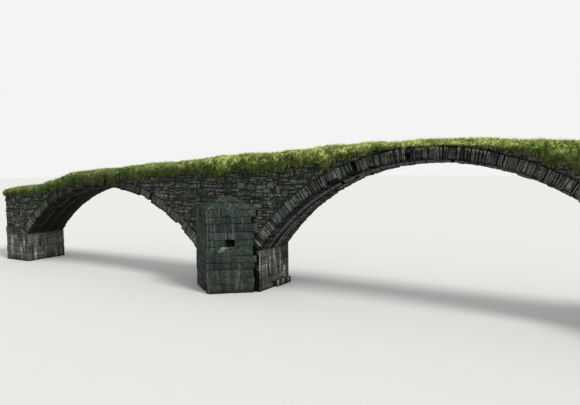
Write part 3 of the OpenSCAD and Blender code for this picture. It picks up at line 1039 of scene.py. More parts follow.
@dataclass(frozen=True)
class Finishes:
    """Every material of the bridge, made once from the finish of the same name."""

    cutwater: Material
    pier: Material
    abutment: Material
    voussoir: Material
    soffit: Material
    far_soffit: Material
    shaded_soffit: Material
    side_voussoir: Material
    rubble: Material
    mortar: Material
    wall_mortar: Material
    painted_shadow_mortar: Material
    turf: Material

    @classmethod
    def build(cls) -> "Finishes":
        """Makes them all."""
        return cls(**{name: finish.build() for name, finish in FINISHES.items()})


# Masonry


@dataclass(frozen=True)
class PlanPath:
    """A line in plan that the face of a wall follows, and the line of the stones' backs."""

    outer: Array
    inner: Array

    @property
    def marks(self) -> Array:
        """How far along the face each of its corners lies."""
        return np.concatenate([[0], np.cumsum(np.linalg.norm(np.diff(self.outer, axis=0), axis=1))])

    @property
    def depth(self) -> float:
        """Depth of the stones."""
        return float(np.linalg.norm(self.inner[0] - self.outer[0]))

    def at(self, along: float, back: float = 0.0) -> Array:
        """Finds a point on the path.

        Args:
            along: How far along the face it lies.
            back: How far in it lies, from 0 at the face to 1 at the stones' backs.

        Returns:
            Its X and Y.
        """
        marks = self.marks
        line = self.outer + (self.inner - self.outer) * back
        return np.array([np.interp(along, marks, line[:, 0]), np.interp(along, marks, line[:, 1])])

    @classmethod
    def through(cls, corners: Sequence[Pair], depth: float, inside: Pair) -> "PlanPath":
        """Makes a path with its stones' backs on the side of a given point.

        Args:
            corners: The corners of the face in order.
            depth: Depth of the stones.
            inside: A point on the side that the stones' backs are on.

        Returns:
            The path, mitred at its corners.
        """
        outer = np.asarray(corners, float)
        runs = unit(np.diff(outer, axis=0))
        normals = np.stack([-runs[:, 1], runs[:, 0]], axis=-1)
        middle = (outer[0] + outer[1]) / 2
        if np.dot(normals[0], np.asarray(inside) - middle) < 0:
            normals = -normals
        inner = [outer[0] + normals[0] * depth]
        for corner, before, after in zip(outer[1:-1], normals[:-1], normals[1:]):
            inner.append(corner + (before + after) * depth / (1 + np.dot(before, after)))
        inner.append(outer[-1] + normals[-1] * depth)
        return cls(outer, np.array(inner))


@dataclass(frozen=True)
class Bond:
    """How the stones of a wall are laid: their sizes, joints and how unevenly they stand.

    Jumpers, splits and lost are shares of the stones: two courses high, split flat, and fallen out.
    """

    course: float
    course_spread: float
    shortest: float
    longest: float
    joint: float
    joint_depth: float
    recess: float
    tilt: float
    rounding: float
    roughness: float
    bulge: float
    waviness: float = 0.0
    jumpers: float = 0.0
    splits: float = 0.0
    lost: float = 0.0


SQUARED = Bond(course=0.17, course_spread=0.25, shortest=0.2, longest=0.5, joint=0.006, joint_depth=0.035,
               recess=0.014, tilt=0.005, rounding=0.009, roughness=0.008, bulge=0.004, waviness=0.005,
               splits=0.1)
RUBBLE = Bond(course=0.08, course_spread=0.45, shortest=0.07, longest=0.26, joint=0.007, joint_depth=0.026,
              recess=0.026, tilt=0.016, rounding=0.02, roughness=0.014, bulge=0.006, waviness=0.026,
              jumpers=0.12, splits=0.2, lost=0.01)
SLABS = Bond(course=0.15, course_spread=0.0, shortest=0.3, longest=0.5, joint=0.009, joint_depth=0.03,
             recess=0.006, tilt=0.004, rounding=0.014, roughness=0.006, bulge=0.003)
NEAT = replace(SQUARED, joint=0.004)
WASHED = replace(SQUARED, joint=0.004, joint_depth=0.02, recess=0.009)

FACE_DEPTH = 0.12
STRAIGHT_CELLS, TURNED_CELLS = (4, 3, 2), (6, 3, 2)
LEAST_STONE, LEAST_HEIGHT = 0.014, 0.004
OUTLINE_SAMPLES = 200
RAGGED_SHARES, QUOIN_SHARES = (0.25, 1.0), (0.85, 1.15)
SPLIT_SHARES, RECESS_SHARES = (0.35, 0.65), (0.1, 1.0)
TIGHT_JOINT, JOINT_SPREAD = 0.5, 1.4
# The waves that a bed wanders in: length, shift from bed to bed, and share.
BED_WAVES = ((0.31, 2.4, 0.6), (0.13, 5.1, 0.4))


@dataclass(frozen=True)
class Hole:
    """A place where a wall has lost a stone: its ends along the face, and its heights."""

    start: float
    end: float
    low: float
    high: float


Span = tuple[float, float, Optional[float]]
Line = Callable[[float], float]


@dataclass
class CoursedWall:
    """Stones laid in courses along a plan path, cut to a lower and an upper line.

    Attributes:
        path: The line of its face.
        bond: How its stones are laid.
        low: Its lower line, by distance along the face.
        high: Its upper line.
        quoin: The short and the long leg of its corner stones.
        holes: Where it has lost stones.
        lean: Moves a point of the plan at a height, where the wall leans.
        ragged_start: How far its first stones may be gone.
        bare: Which sides of the stones are open to the air.
        pale_ends: Share of the stones with an upright edge worn pale, which is partly a painted
        highlight.
        rng: Its random draws.
    """

    path: PlanPath
    bond: Bond
    low: Line
    high: Line
    quoin: Pair = (0.16, 0.3)
    holes: Sequence[Hole] = ()
    lean: Optional[Callable[[Array, float], Array]] = None
    ragged_start: float = 0.0
    bare: tuple[tuple[int, int], ...] = FACE_ONLY
    pale_ends: float = 0.0
    rng: Generator = field(init=False)

    def _beds(self, low: float, high: float) -> Array:
        """Finds the beds between two levels, each course a little different.

        Args:
            low: Where the lowest course starts.
            high: Where the highest ends.

        Returns:
            The heights of the beds, with both levels.
        """
        count = max(1, round((high - low) / self.bond.course))
        steps = 1 + self.bond.course_spread * self.rng.uniform(-1, 1, count)
        return low + (high - low) * np.concatenate([[0], np.cumsum(steps)]) / steps.sum()

    def _joints(self, start: float, end: float) -> list[Span]:
        """Divides a straight stretch of one course by upright joints.

        Args:
            start: Where it starts along the face.
            end: Where it ends.

        Returns:
            The stones between them.
        """
        bond, places = self.bond, [start]
        while end - places[-1] > bond.longest:
            room = end - places[-1]
            least = min(bond.shortest, room / 2)
            most = max(least, min(bond.longest, room - bond.shortest))
            places.append(places[-1] + self.rng.uniform(least, most))
        return [(a, b, None) for a, b in zip(places, [*places[1:], end])]

    def _section(self, along: float, bottom: float, top: float, face: float) -> Array:
        """Draws one end of a stone, a little out of true.

        Args:
            along: Where it is along the face.
            bottom: Its lower height.
            top: Its upper height.
            face: How far in its face lies, as a share of the stones' depth.

        Returns:
            A (2, 2, 3) array, as Stones takes it.
        """
        section = np.zeros((2, 2, 3))
        for v, level in enumerate((bottom, top)):
            for w, back in enumerate((face, 1.0)):
                point = self.path.at(along, back)
                if self.lean is not None:
                    point = self.lean(point, level)
                section[v, w] = [point[0], point[1], level]
        section[:, 0] += self.rng.uniform(-1, 1, (2, 3)) * self.bond.tilt * np.array([1, 1, 0.8])
        return section

    def _spans(self, course: int) -> list[Span]:
        """Divides one course into stones.

        Args:
            course: Its number, which decides how its quoins lie.

        Returns:
            Start, end and corner, if any, of each stone.
        """
        marks = self.path.marks
        spans: list[Span] = []
        start = self.ragged_start * self.rng.uniform(*RAGGED_SHARES)
        for corner in marks[1:-1]:
            short, long = self.quoin if course % 2 else self.quoin[::-1]
            before = corner - short * self.rng.uniform(*QUOIN_SHARES)
            after = corner + long * self.rng.uniform(*QUOIN_SHARES)
            spans += self._joints(start, before) + [(before, after, corner)]
            start = after
        return spans + self._joints(start, marks[-1])

    def _free(self, spans: Sequence[Span], taken: Sequence[Pair]) -> list[Span]:
        """Keeps what is left of a course's stones beside the stretches that are taken.

        Args:
            spans: The course's stones.
            taken: The stretches, as starts and ends.

        Returns:
            The stones that are left, some of them cut short.
        """
        left = list(spans)
        for low, high in taken:
            kept: list[Span] = []
            for start, end, corner in left:
                if end <= low or start >= high:
                    kept.append((start, end, corner))
                    continue
                for a, b in ((start, low), (high, end)):
                    if b - a > 3 * LEAST_STONE:
                        kept.append((a, b, corner if corner is not None and a < corner < b else None))
            left = kept
        return left

    def _trimmed(self, start: float, end: float, bottom: Line, top: Line) -> Optional[Pair]:
        """Cuts a stone to the wall's outline.

        Args:
            start: Where it starts along the face.
            end: Where it ends.
            bottom: The bed that it lies on.
            top: The bed over it.

        Returns:
            Its new ends, or None where nothing is left.
        """
        for _ in range(3):
            rooms = [min(top(s), self.high(s)) - max(bottom(s), self.low(s)) for s in (start, end)]
            if max(rooms) < LEAST_STONE or end - start < LEAST_STONE:
                return None
            if min(rooms) >= LEAST_STONE:
                return start, end
            share = (LEAST_STONE - min(rooms)) / (max(rooms) - min(rooms))
            if rooms[0] < rooms[1]:
                start += (end - start) * share
            else:
                end -= (end - start) * share
        return (start, end) if min(rooms) > LEAST_STONE / 2 else None

    def mesh(self, seed: int) -> Mesh:
        """Lays the wall.

        Args:
            seed: Which random draws and which noise to use.

        Returns:
            All its stones.
        """
        bond = self.bond
        self.rng = np.random.default_rng(seed)
        straight = Stones(STRAIGHT_CELLS, bond.rounding, bond.roughness, bond.bulge, bare=self.bare,
                          pale_ends=self.pale_ends)
        turned = Stones(TURNED_CELLS, bond.rounding, bond.roughness, bond.bulge, turns=True, bare=self.bare)
        samples = np.linspace(0, self.path.marks[-1], OUTLINE_SAMPLES)
        beds = self._beds(min(map(self.low, samples)), max(map(self.high, samples)))
        last = len(beds) - 1

        def bed_at(number: int, along: float) -> float:
            """Height of a wandering bed."""
            wander = sum(math.sin(along / size + number * shift) * share for size, shift, share in BED_WAVES)
            return beds[number] + (bond.waviness * wander if 0 < number < last else 0.0)

        taken: list[Pair] = []
        for course in range(last):
            middle = (beds[course] + beds[course + 1]) / 2
            taken += [(hole.start, hole.end) for hole in self.holes if hole.low <= middle < hole.high]
            spans, taken = self._free(self._spans(course), taken), []
            for start, end, corner in spans:
                draw = self.rng.random()
                tall = corner is None and course + 2 <= last and draw < bond.jumpers
                cuts = [0.0, 1.0]
                if tall:
                    taken.append((start, end))
                elif corner is None and draw < bond.jumpers + bond.splits:
                    cuts = [0.0, self.rng.uniform(*SPLIT_SHARES), 1.0]
                elif corner is None and draw > 1 - bond.lost:
                    continue
                upper = course + (2 if tall else 1)
                for low_cut, high_cut in zip(cuts, cuts[1:]):
                    bottom, top = (
                        lambda s, cut=cut: bed_at(course, s) + (bed_at(upper, s) - bed_at(course, s)) * cut
                        for cut in (low_cut, high_cut))
                    self._lay(straight, turned, (start, end, corner), bottom, top)
        return Mesh.joined([straight.mesh(seed), turned.mesh(seed + 1)])

    def _lay(self, straight: Stones, turned: Stones, span: Span, bottom: Line, top: Line) -> None:
        """Lays one stone.

        Args:
            straight: Where plain stones go.
            turned: Where quoins go.
            span: Its start and end along the path, and the corner that it turns, if any.
            bottom: The bed that it lies on.
            top: The bed over it.
        """
        start, end, corner = span
        face = self.rng.uniform(*RECESS_SHARES) * self.bond.recess / self.path.depth
        cut = self._trimmed(start, end, bottom, top)
        if cut is None:
            return
        half = self.bond.joint / 2 * (TIGHT_JOINT + JOINT_SPREAD * self.rng.random() ** 2)
        stops = [cut[0] + half, cut[1] - half]
        if corner is not None and stops[0] < corner < stops[1]:
            stops.insert(1, corner)
        sections = []
        for stop in stops:
            low = max(bottom(stop), self.low(stop)) + half
            high = min(top(stop), self.high(stop)) - half
            sections.append(self._section(stop, low, max(high, low + LEAST_HEIGHT), face))
        (turned if len(sections) == 3 else straight).add(*sections)


@dataclass
class Bridge:
    """What every sub-assembly shares: the bridge's form and its finishes."""

    form: BridgeForm
    finishes: Finishes

    def place(self, name: str, parts: Parts, slot: str, *nodes: str) -> None:
        """Makes a piece, fixes it to the frame in the place of its nodes, and reports it.

        Args:
            name: The piece's name.
            parts: Its meshes and what each is made of.
            slot: The material slot of the record that it shows; not used.
            nodes: The nodes that it stands for.
        """
        made = make_piece(name, parts)
        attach(made, "root")
        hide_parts(*nodes)
        triangles = sum(len(polygon.vertices) - 2 for polygon in made.data.polygons)
        LOG.info("%s: %d triangles in place of %s", made.name, triangles, ", ".join(nodes))


@dataclass(frozen=True)
class RingWear:
    """How unevenly the stones of a ring have worn."""

    foot: float
    spalled: float
    recess: float
    undercut: float


FRONT_WEAR = RingWear(foot=0.026, spalled=0.16, recess=0.024, undercut=0.018)
BACK_WEAR = replace(FRONT_WEAR, foot=0.01, spalled=0.05)
RIB_WEAR = RingWear(foot=0.01, spalled=0.05, recess=0.008, undercut=0.006)
RIB_CELLS, RING_CELLS = (3, 3, 5), (3, 5, 4)
RING_ROUNDING, RING_ROUGHNESS, RING_PALE = 0.012, 0.009, 0.3
SPALL, SHORT_FOOT, LOST_FOOT = (0.02, 0.055), 0.09, 0.05
# The stones by the springings, held in their seats, keep more of their feet.
SEATED, SEATED_WEAR = 0.94, 0.3
TOP_WEAR = (0.002, 0.014)
LEAST_JOINT, RIB_JOINT, WIDE_JOINT = 0.002, 0.003, 0.3
JOINT_ANGLES, JOINT_WIDTHS = (0.45, 0.6), (0.013, 0.005)
FOOT_SKEW = (0.003, 0.0, 0.007)
EDGE_SKEW, RING_SPLIT_SHARES, BREAK_SHARE = 0.27, (0.36, 0.64), 0.45
SOFFIT_REACH, SOFFIT_HEM = 0.05, 0.045
TOP_ARRIS, ARRIS_PATCH, ARRIS_LEAST = (0.035, 0.03), 0.09, -0.3
# The mortar core: its gaps beside a lost stone, its steps in radians, and how far the stones cover it.
GAP_SHARES, CORE_STEP, CORE_COVER, CORE_TOP = (0.1, 0.03), 0.03, 1.3, 0.004


@dataclass
class ArchRing(Bridge):
    """One of the parallel rings of wedge stones that make an arch's barrel.

    Attributes:
        node: The ring's node.
        arch: The arch that it belongs to.
        y_from: The face of the ring.
        y_to: Its back.
        stones: How many stones it has.
        seed: Which random draws it uses.
        is_rib: Whether it is one of the inner ribs, which hang lower.
        lost: Stones that have fallen out, counted from the left springing.
        short: Stones that have lost their lower end.
        broken: Stones that have split, with the half towards +X gone, and how far up it is gone.
        wide_joint: The stone with a wide open joint beside it.
        socket: How deep the place of a lost stone is.
        turf_shade_and_damp_dimmest: How light its stones are right under the turf, from 0 to 1: painted shade
            of the turf's overhang, with its damp.
        painted_soffit_light: How light its soffit is, from 0 to 1: painted shade.
        bare_crown: How far from the crown the ring carries no wall, so that its top edge is pale: worn,
        and partly a painted highlight.
        groove: How far the edges of a ring lie from the next ring.
        groove_shade_reach: How far in from its edges the soffit is darker: painted shade of the grooves
        between the rings.
        joint_depth: How far the mortar is washed back.
        shaded: How far below the turf the ring is darker, by painted shade with its damp.
        rib_foot: The power with which the ribs' drop dies away at the springing.
        splits: Share of the face stones that have split in two.
    """

    node: str
    arch: ArchForm
    y_from: float
    y_to: float
    stones: int
    seed: int
    is_rib: bool = False
    lost: Sequence[int] = ()
    short: Sequence[int] = ()
    broken: Optional[dict[int, float]] = None
    wide_joint: Optional[int] = None
    socket: float = 0.22
    turf_shade_and_damp_dimmest: float = 0.3
    painted_soffit_light: float = 1.0
    bare_crown: float = 1.05
    groove: float = 0.014
    groove_shade_reach: float = 0.13
    joint_depth: float = 0.045
    shaded: float = 0.9
    rib_foot: int = 8
    splits: float = 0.34

    @property
    def inward(self) -> int:
        """Which way along Y the ring's back lies."""
        return 1 if self.y_to > self.y_from else -1

    def _soffit(self, angle: float) -> float:
        """Radius of the soffit before any wear."""
        drop = self.form.rib_drop if self.is_rib else 0.0
        return self.arch.radius - drop * (1 - (angle / self.arch.half_angle) ** self.rib_foot)

    def _edges(self) -> Array:
        """Finds the joints, unevenly spaced.

        Returns:
            Their angles from the crown.
        """
        rng = np.random.default_rng(self.seed)
        edges = np.linspace(-self.arch.half_angle, self.arch.half_angle, self.stones + 1)
        edges[1:-1] += rng.uniform(-EDGE_SKEW, EDGE_SKEW, self.stones - 1) * (edges[1] - edges[0])
        return edges

    def _blocks(self) -> Mesh:
        """Lays the ring's wedge stones, each a little out of line with the next.

        Returns:
            The stones, dimmed under the turf and on their soffit by painted shade.
        """
        rng = np.random.default_rng(self.seed + 1)
        # The ribs' highlit_foot is a painted highlight along the lower edge of their face.
        batch = Stones(RIB_CELLS if self.is_rib else RING_CELLS, RING_ROUNDING, RING_ROUGHNESS,
                       round_back=True, bare=FACE_AND_SOFFIT, highlit_foot=self.is_rib,
                       pale_ends=0.0 if self.is_rib else RING_PALE)
        edges = self._edges()
        for number, (first, second) in enumerate(zip(edges, edges[1:])):
            cuts = [first, second]
            if not self.is_rib and rng.random() < self.splits and number not in self.lost:
                cuts.insert(1, first + (second - first) * rng.uniform(*RING_SPLIT_SHARES))
            gone = self.broken.get(number, 0.0) if self.broken else 0.0
            if gone:
                cuts = [first, first + (second - first) * BREAK_SHARE, second]
            for start, end in zip(cuts, cuts[1:]):
                self._lay(batch, number, start, end, gone if end == second else 0.0, rng)
        made = batch.mesh(self.seed)
        x, y, z = made.verts.T
        under = self.form.deck.wall_z(abs(x)) - z
        # Painted shade: darker under the turf's overhang, with its damp, along the soffit's grooves by the
        # next ring, and over the side arches' soffits.
        dimmed = made.exposure_and_light * (self.turf_shade_and_damp_dimmest + (1 - self.turf_shade_and_damp_dimmest) * np.clip(under / self.shaded, 0, 1))
        from_edge = np.minimum(abs(y - self.y_from), abs(y - self.y_to))
        height = np.hypot(x - self.arch.mid_x, z - self.arch.centre_z)
        below = height < self.arch.radius + SOFFIT_REACH
        dimmed = np.where(below, dimmed * np.clip(from_edge / self.groove_shade_reach, 0, 1), dimmed)
        dimmed = np.where(below & (from_edge > SOFFIT_HEM), dimmed * self.painted_soffit_light, dimmed)
        made.exposure_and_light = np.where(made.exposure_and_light > 1, made.exposure_and_light, dimmed)
        # A pale top edge at the crown under the turf: worn, and partly a painted highlight.
        if "front" in self.node and not self.is_rib and self.arch is self.form.main:
            down, back = TOP_ARRIS
            top_arris = (height > self.arch.radius + self.arch.depth - down) & (from_edge < back)
            patchy = lattice_noise(made.verts / ARRIS_PATCH, self.seed) > ARRIS_LEAST
            made.exposure_and_light[top_arris & patchy & (abs(x) < self.bare_crown)] = WEAR_AND_HIGHLIGHT
        return made

    def _lay(self, batch: Stones, number: int, first: float, second: float, gone: float,
             rng: Generator) -> None:
        """Lays one stone of the ring, or one half of a stone that has split.

        Args:
            batch: Where the stones go.
            number: Which stone it is, counted from the left springing.
            first: The angle of its lower joint.
            second: The angle of its upper joint.
            gone: How far up from the soffit its face is gone.
            rng: The ring's random draws.
        """
        middle = (first + second) / 2
        wear = RIB_WEAR if self.is_rib else BACK_WEAR if "back" in self.node else FRONT_WEAR
        worn = rng.uniform(0.0, wear.foot)
        worn += rng.uniform(*SPALL) if rng.random() < wear.spalled else 0
        if number in self.short:
            worn = SHORT_FOOT
        worn *= SEATED_WEAR if abs(middle) > self.arch.half_angle * SEATED else 1.0
        face = rng.uniform(0.0, wear.recess)
        top = self.arch.radius + self.arch.depth - rng.uniform(*TOP_WEAR)
        widest = RIB_JOINT if self.is_rib else float(np.interp(abs(middle), JOINT_ANGLES, JOINT_WIDTHS))
        gaps = (LEAST_JOINT + widest * rng.random(2) ** 2) / self.arch.radius
        if number == self.wide_joint:
            gaps[0] = (second - first) * WIDE_JOINT
        if number in self.lost:
            face, worn = self.socket, LOST_FOOT
        foot = self._soffit(middle) + worn
        levels = [(foot, top, face)]
        if gone:
            levels = [(foot, foot + gone, self.socket), (foot + gone, top, face)]
        back = self.y_to - self.inward * self.groove
        for low, high, depth in levels:
            front = self.y_from + self.inward * (depth + (self.groove if self.is_rib else 0))
            sections = []
            for angle in (first + gaps[0], second - gaps[1]):
                section = np.zeros((2, 2, 3))
                for v, radius in enumerate((low, high)):
                    x, z = self.arch.at(angle, radius)
                    section[v] = [[x, front, z], [x, back, z]]
                section[0] += rng.uniform(-1, 1, (2, 3)) * np.array(FOOT_SKEW)
                section[:, 0, 1] += self.inward * rng.uniform(0, wear.undercut, 2)
                sections.append(section)
            batch.add(*sections)

    def _core(self) -> list[Mesh]:
        """Lays the mortar between the stones, washed back from the face and the soffit.

        Returns:
            One prism for each run of stones between the places of lost ones.
        """
        edges = self._edges()
        stops = [edges[0]]
        for number in sorted([*self.lost, *(self.broken or {})]):
            width = edges[number + 1] - edges[number]
            stops += [edges[number] + GAP_SHARES[0] * width, edges[number + 1] - GAP_SHARES[1] * width]
        stops.append(edges[-1])
        inset = 0.0 if self.is_rib else self.joint_depth * self.inward
        ends = sorted((self.y_from + inset, self.y_to))
        cores = []
        for first, second in zip(stops[::2], stops[1::2]):
            angles = np.linspace(first, second, max(4, round((second - first) / CORE_STEP)))
            inner = [self.arch.at(a, self._soffit(a) + self.joint_depth * CORE_COVER) for a in angles]
            back = self.arch.radius + self.arch.depth - CORE_TOP
            outer = [self.arch.at(a, back) for a in angles[::-1]]
            cores.append(Mesh.prism(inner + outer, Plane.PROFILE, *ends))
        return cores

    def build(self) -> None:
        """Makes the ring."""
        stock = self.finishes
        stone = stock.voussoir if self.arch is self.form.main else stock.side_voussoir
        if self.is_rib and self.arch is not self.form.main:
            stone = stock.shaded_soffit
        elif self.is_rib:
            # The main arch's back rib takes the far soffit: painted bounce light.
            stone = stock.far_soffit if "back" in self.node else stock.soffit
        parts = [(self._blocks(), stone)] + [(core, stock.mortar) for core in self._core()]
        slot = "rib_sandstone" if self.is_rib else "arch_sandstone"
        self.place(self.node + "_stones", parts, slot, self.node)


UNDER_TURF, CORE_UNDER_TURF, END_CORE_DROP = 0.003, 0.012, 0.01
# How light the walls are right under the turf: painted shade of its overhang, with its damp.
WALL_TURF_SHADE_DIMMEST = 0.35
WALL_STATIONS = 80


@dataclass
class SpandrelWall(Bridge):
    """A stretch of rubble wall between the backs of the rings and the earth bed.

    Its places along X are counted outwards from the crown, and it is darker towards the turf, by
    painted shade of the turf's overhang with its damp.
    """

    node: str
    side: Side
    face: Face
    x_from: float
    x_to: float
    floor_z: float
    seed: int
    turns_end: bool = False
    turf_shade_and_damp_reach: float = 0.6

    def _low(self, x: float) -> float:
        """The lowest that the wall reaches at a place."""
        return max(self.floor_z, self.form.main.back_z(x), self.form.right.back_z(x))

    def build(self) -> None:
        """Makes the wall."""
        form, sign, y_sign = self.form, self.side.value, self.face.value
        y_face = form.half_w * y_sign
        y_back = y_sign * (form.half_w - form.wall_t)
        corners = [(sign * self.x_from, y_face), (sign * self.x_to, y_face)]
        if self.turns_end:
            corners.append((sign * self.x_to, y_back))
        path = PlanPath.through(corners, FACE_DEPTH, (sign * self.x_from, 0.0))

        def x_at(along: float) -> float:
            """X on the drawn half at a distance along the path."""
            return min(self.x_from + along, self.x_to)

        wall = CoursedWall(path, RUBBLE, lambda s: self._low(x_at(s)),
                           lambda s: float(form.deck.wall_z(x_at(s))) - UNDER_TURF).mesh(self.seed)
        under = form.deck.wall_z(abs(wall.verts[:, 0])) - wall.verts[:, 2]
        # Painted shade of the turf's overhang, with its damp.
        wall.exposure_and_light *= WALL_TURF_SHADE_DIMMEST + (1 - WALL_TURF_SHADE_DIMMEST) * np.clip(under / self.turf_shade_and_damp_reach, 0, 1)
        stations = np.linspace(self.x_from, self.x_to, WALL_STATIONS)
        lows = np.array([self._low(x) for x in stations])
        tops = form.deck.wall_z(stations) - CORE_UNDER_TURF
        keep = tops - lows > LEAST_HEIGHT
        gone = np.where((stations > self.x_to - 1e-6) & self.turns_end, RUBBLE.joint_depth, 0.0)
        bottom = list(zip(sign * (stations - gone)[keep], lows[keep]))
        top = list(zip(sign * (stations - gone)[keep], tops[keep]))
        ends = sorted((y_face - y_sign * RUBBLE.joint_depth, y_back))
        core = Mesh.prism(bottom + top[::-1], Plane.PROFILE, *ends)
        parts = [(wall, self.finishes.rubble), (core, self.finishes.wall_mortar)]
        self.place(self.node + "_stones", parts, "wall_sandstone", self.node)


@dataclass
class EndWall(Bridge):
    """Plain coursed wall across one end of the bridge."""

    node: str
    side: Side
    seed: int

    def build(self) -> None:
        """Makes the wall."""
        form, sign = self.form, self.side.value
        inner = form.half_w - form.wall_t
        low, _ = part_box(self.node)
        top = float(form.deck.wall_z(form.end_x)) - UNDER_TURF
        ends = [(sign * form.end_x, -inner), (sign * form.end_x, inner)]
        path = PlanPath.through(ends, FACE_DEPTH, (0.0, 0.0))
        wall = CoursedWall(path, RUBBLE, lambda s: low.z, lambda s: top).mesh(self.seed)
        xs = sorted((sign * (form.end_x - RUBBLE.joint_depth), sign * (form.end_x - form.wall_t)))
        core_top = top - END_CORE_DROP
        outline = [(xs[0], low.z), (xs[1], low.z), (xs[1], core_top), (xs[0], core_top)]
        core = Mesh.prism(outline, Plane.PROFILE, -inner, inner)
        parts = [(wall, self.finishes.rubble), (core, self.finishes.wall_mortar)]
        self.place(self.node + "_stones", parts, "wall_sandstone", self.node)


@dataclass
class Pier(Bridge):
    """A pier between two arches, with its footing course."""

    side: Side
    seed: int
    slab_depth: float = 0.3
    slab_cover: float = 0.09
    slab_ends: float = 0.02
    slab_tops: float = 0.01

    def _profile(self, inset: float) -> list[Pair]:
        """Draws the pier's outline in X and Z.

        Args:
            inset: How far it is drawn in from its two flanks.

        Returns:
            Its corners in order.
        """
        form, sign = self.form, self.side.value
        corners = [(form.pier_low + inset, 0.0), (form.pier_high - inset, 0.0),
                   (form.pier_high - inset, form.right.spring_z),
                   (form.pier_high - form.right.skew[0], form.right.spring_z + form.right.skew[1]),
                   (form.pier_low + form.main.skew[0], form.main.spring_z + form.main.skew[1]),
                   (form.pier_low + inset, form.main.spring_z)]
        return [(sign * x, z) for x, z in corners]

    def build(self) -> None:
        """Makes the pier and then its footing."""
        form, sign, name = self.form, self.side.value, self.side.name.lower()
        _, footing_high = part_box(f"{name}_footing")
        inside = (sign * (form.pier_low + form.pier_high) / 2, 0.0)
        flanks = ((form.pier_low, form.main.spring_z), (form.pier_high, form.right.spring_z))
        parts = []
        for number, (x, top) in enumerate(flanks):
            path = PlanPath.through([(sign * x, -form.half_w), (sign * x, form.half_w)], FACE_DEPTH, inside)
            wall = CoursedWall(path, WASHED, lambda s: footing_high.z if s > form.half_w else 0.0,
                               lambda s, t=top: t)
            parts.append((wall.mesh(self.seed + number), self.finishes.pier))
        ends = np.array([-1, -1, 1, 1]) * form.half_w + np.array([0, 1, -1, 0]) * WASHED.joint_depth
        # The core's end strips by the faces take the nearly black mortar: painted shadow in the joints.
        wet, dry = self.finishes.painted_shadow_mortar, self.finishes.wall_mortar
        for low, high, mortar in zip(ends, ends[1:], (wet, dry, wet)):
            core = Mesh.prism(self._profile(WASHED.joint_depth), Plane.PROFILE, low, high)
            parts.append((core, mortar))
        self.place(f"{name}_pier_stones", parts, "pier_sandstone", f"{name}_pier")
        self._footing(footing_high.z)

    def _footing(self, height: float) -> None:
        """Makes the offset course of long slabs at the pier's far foot.

        Args:
            height: How high it stands.
        """
        form, name = self.form, self.side.name.lower()
        low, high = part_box(f"{name}_footing")
        parts = []
        inside = ((low.x + high.x) / 2, 0.0)
        for number, x in enumerate((low.x, high.x)):
            path = PlanPath.through([(x, 0.0), (x, form.half_w)], self.slab_depth, inside)
            wall = CoursedWall(path, SLABS, lambda s: 0.0, lambda s: height, bare=FACE_AND_TOP, pale_ends=0.6)
            parts.append((wall.mesh(self.seed + 10 + number), self.finishes.pier))
        start, end = low.x + self.slab_cover, high.x - self.slab_cover
        near, far = self.slab_ends, form.half_w - self.slab_ends
        inner = [(start, near), (end, near), (end, far), (start, far)]
        core = Mesh.prism(inner, Plane.PLAN, 0.0, height - self.slab_tops)
        parts.append((core, self.finishes.mortar))
        self.place(f"{name}_footing_slabs", parts, "pier_sandstone", f"{name}_footing")


# How far the stones cover the mortar: in wears at the shoulder, in joint depths at the nose.
SHOULDER_COVER, NOSE_COVER = 1.3, 1.7
LIME_LEAST, LIME_AIR, JOINT_AIR = -0.25, 0.82, 0.1


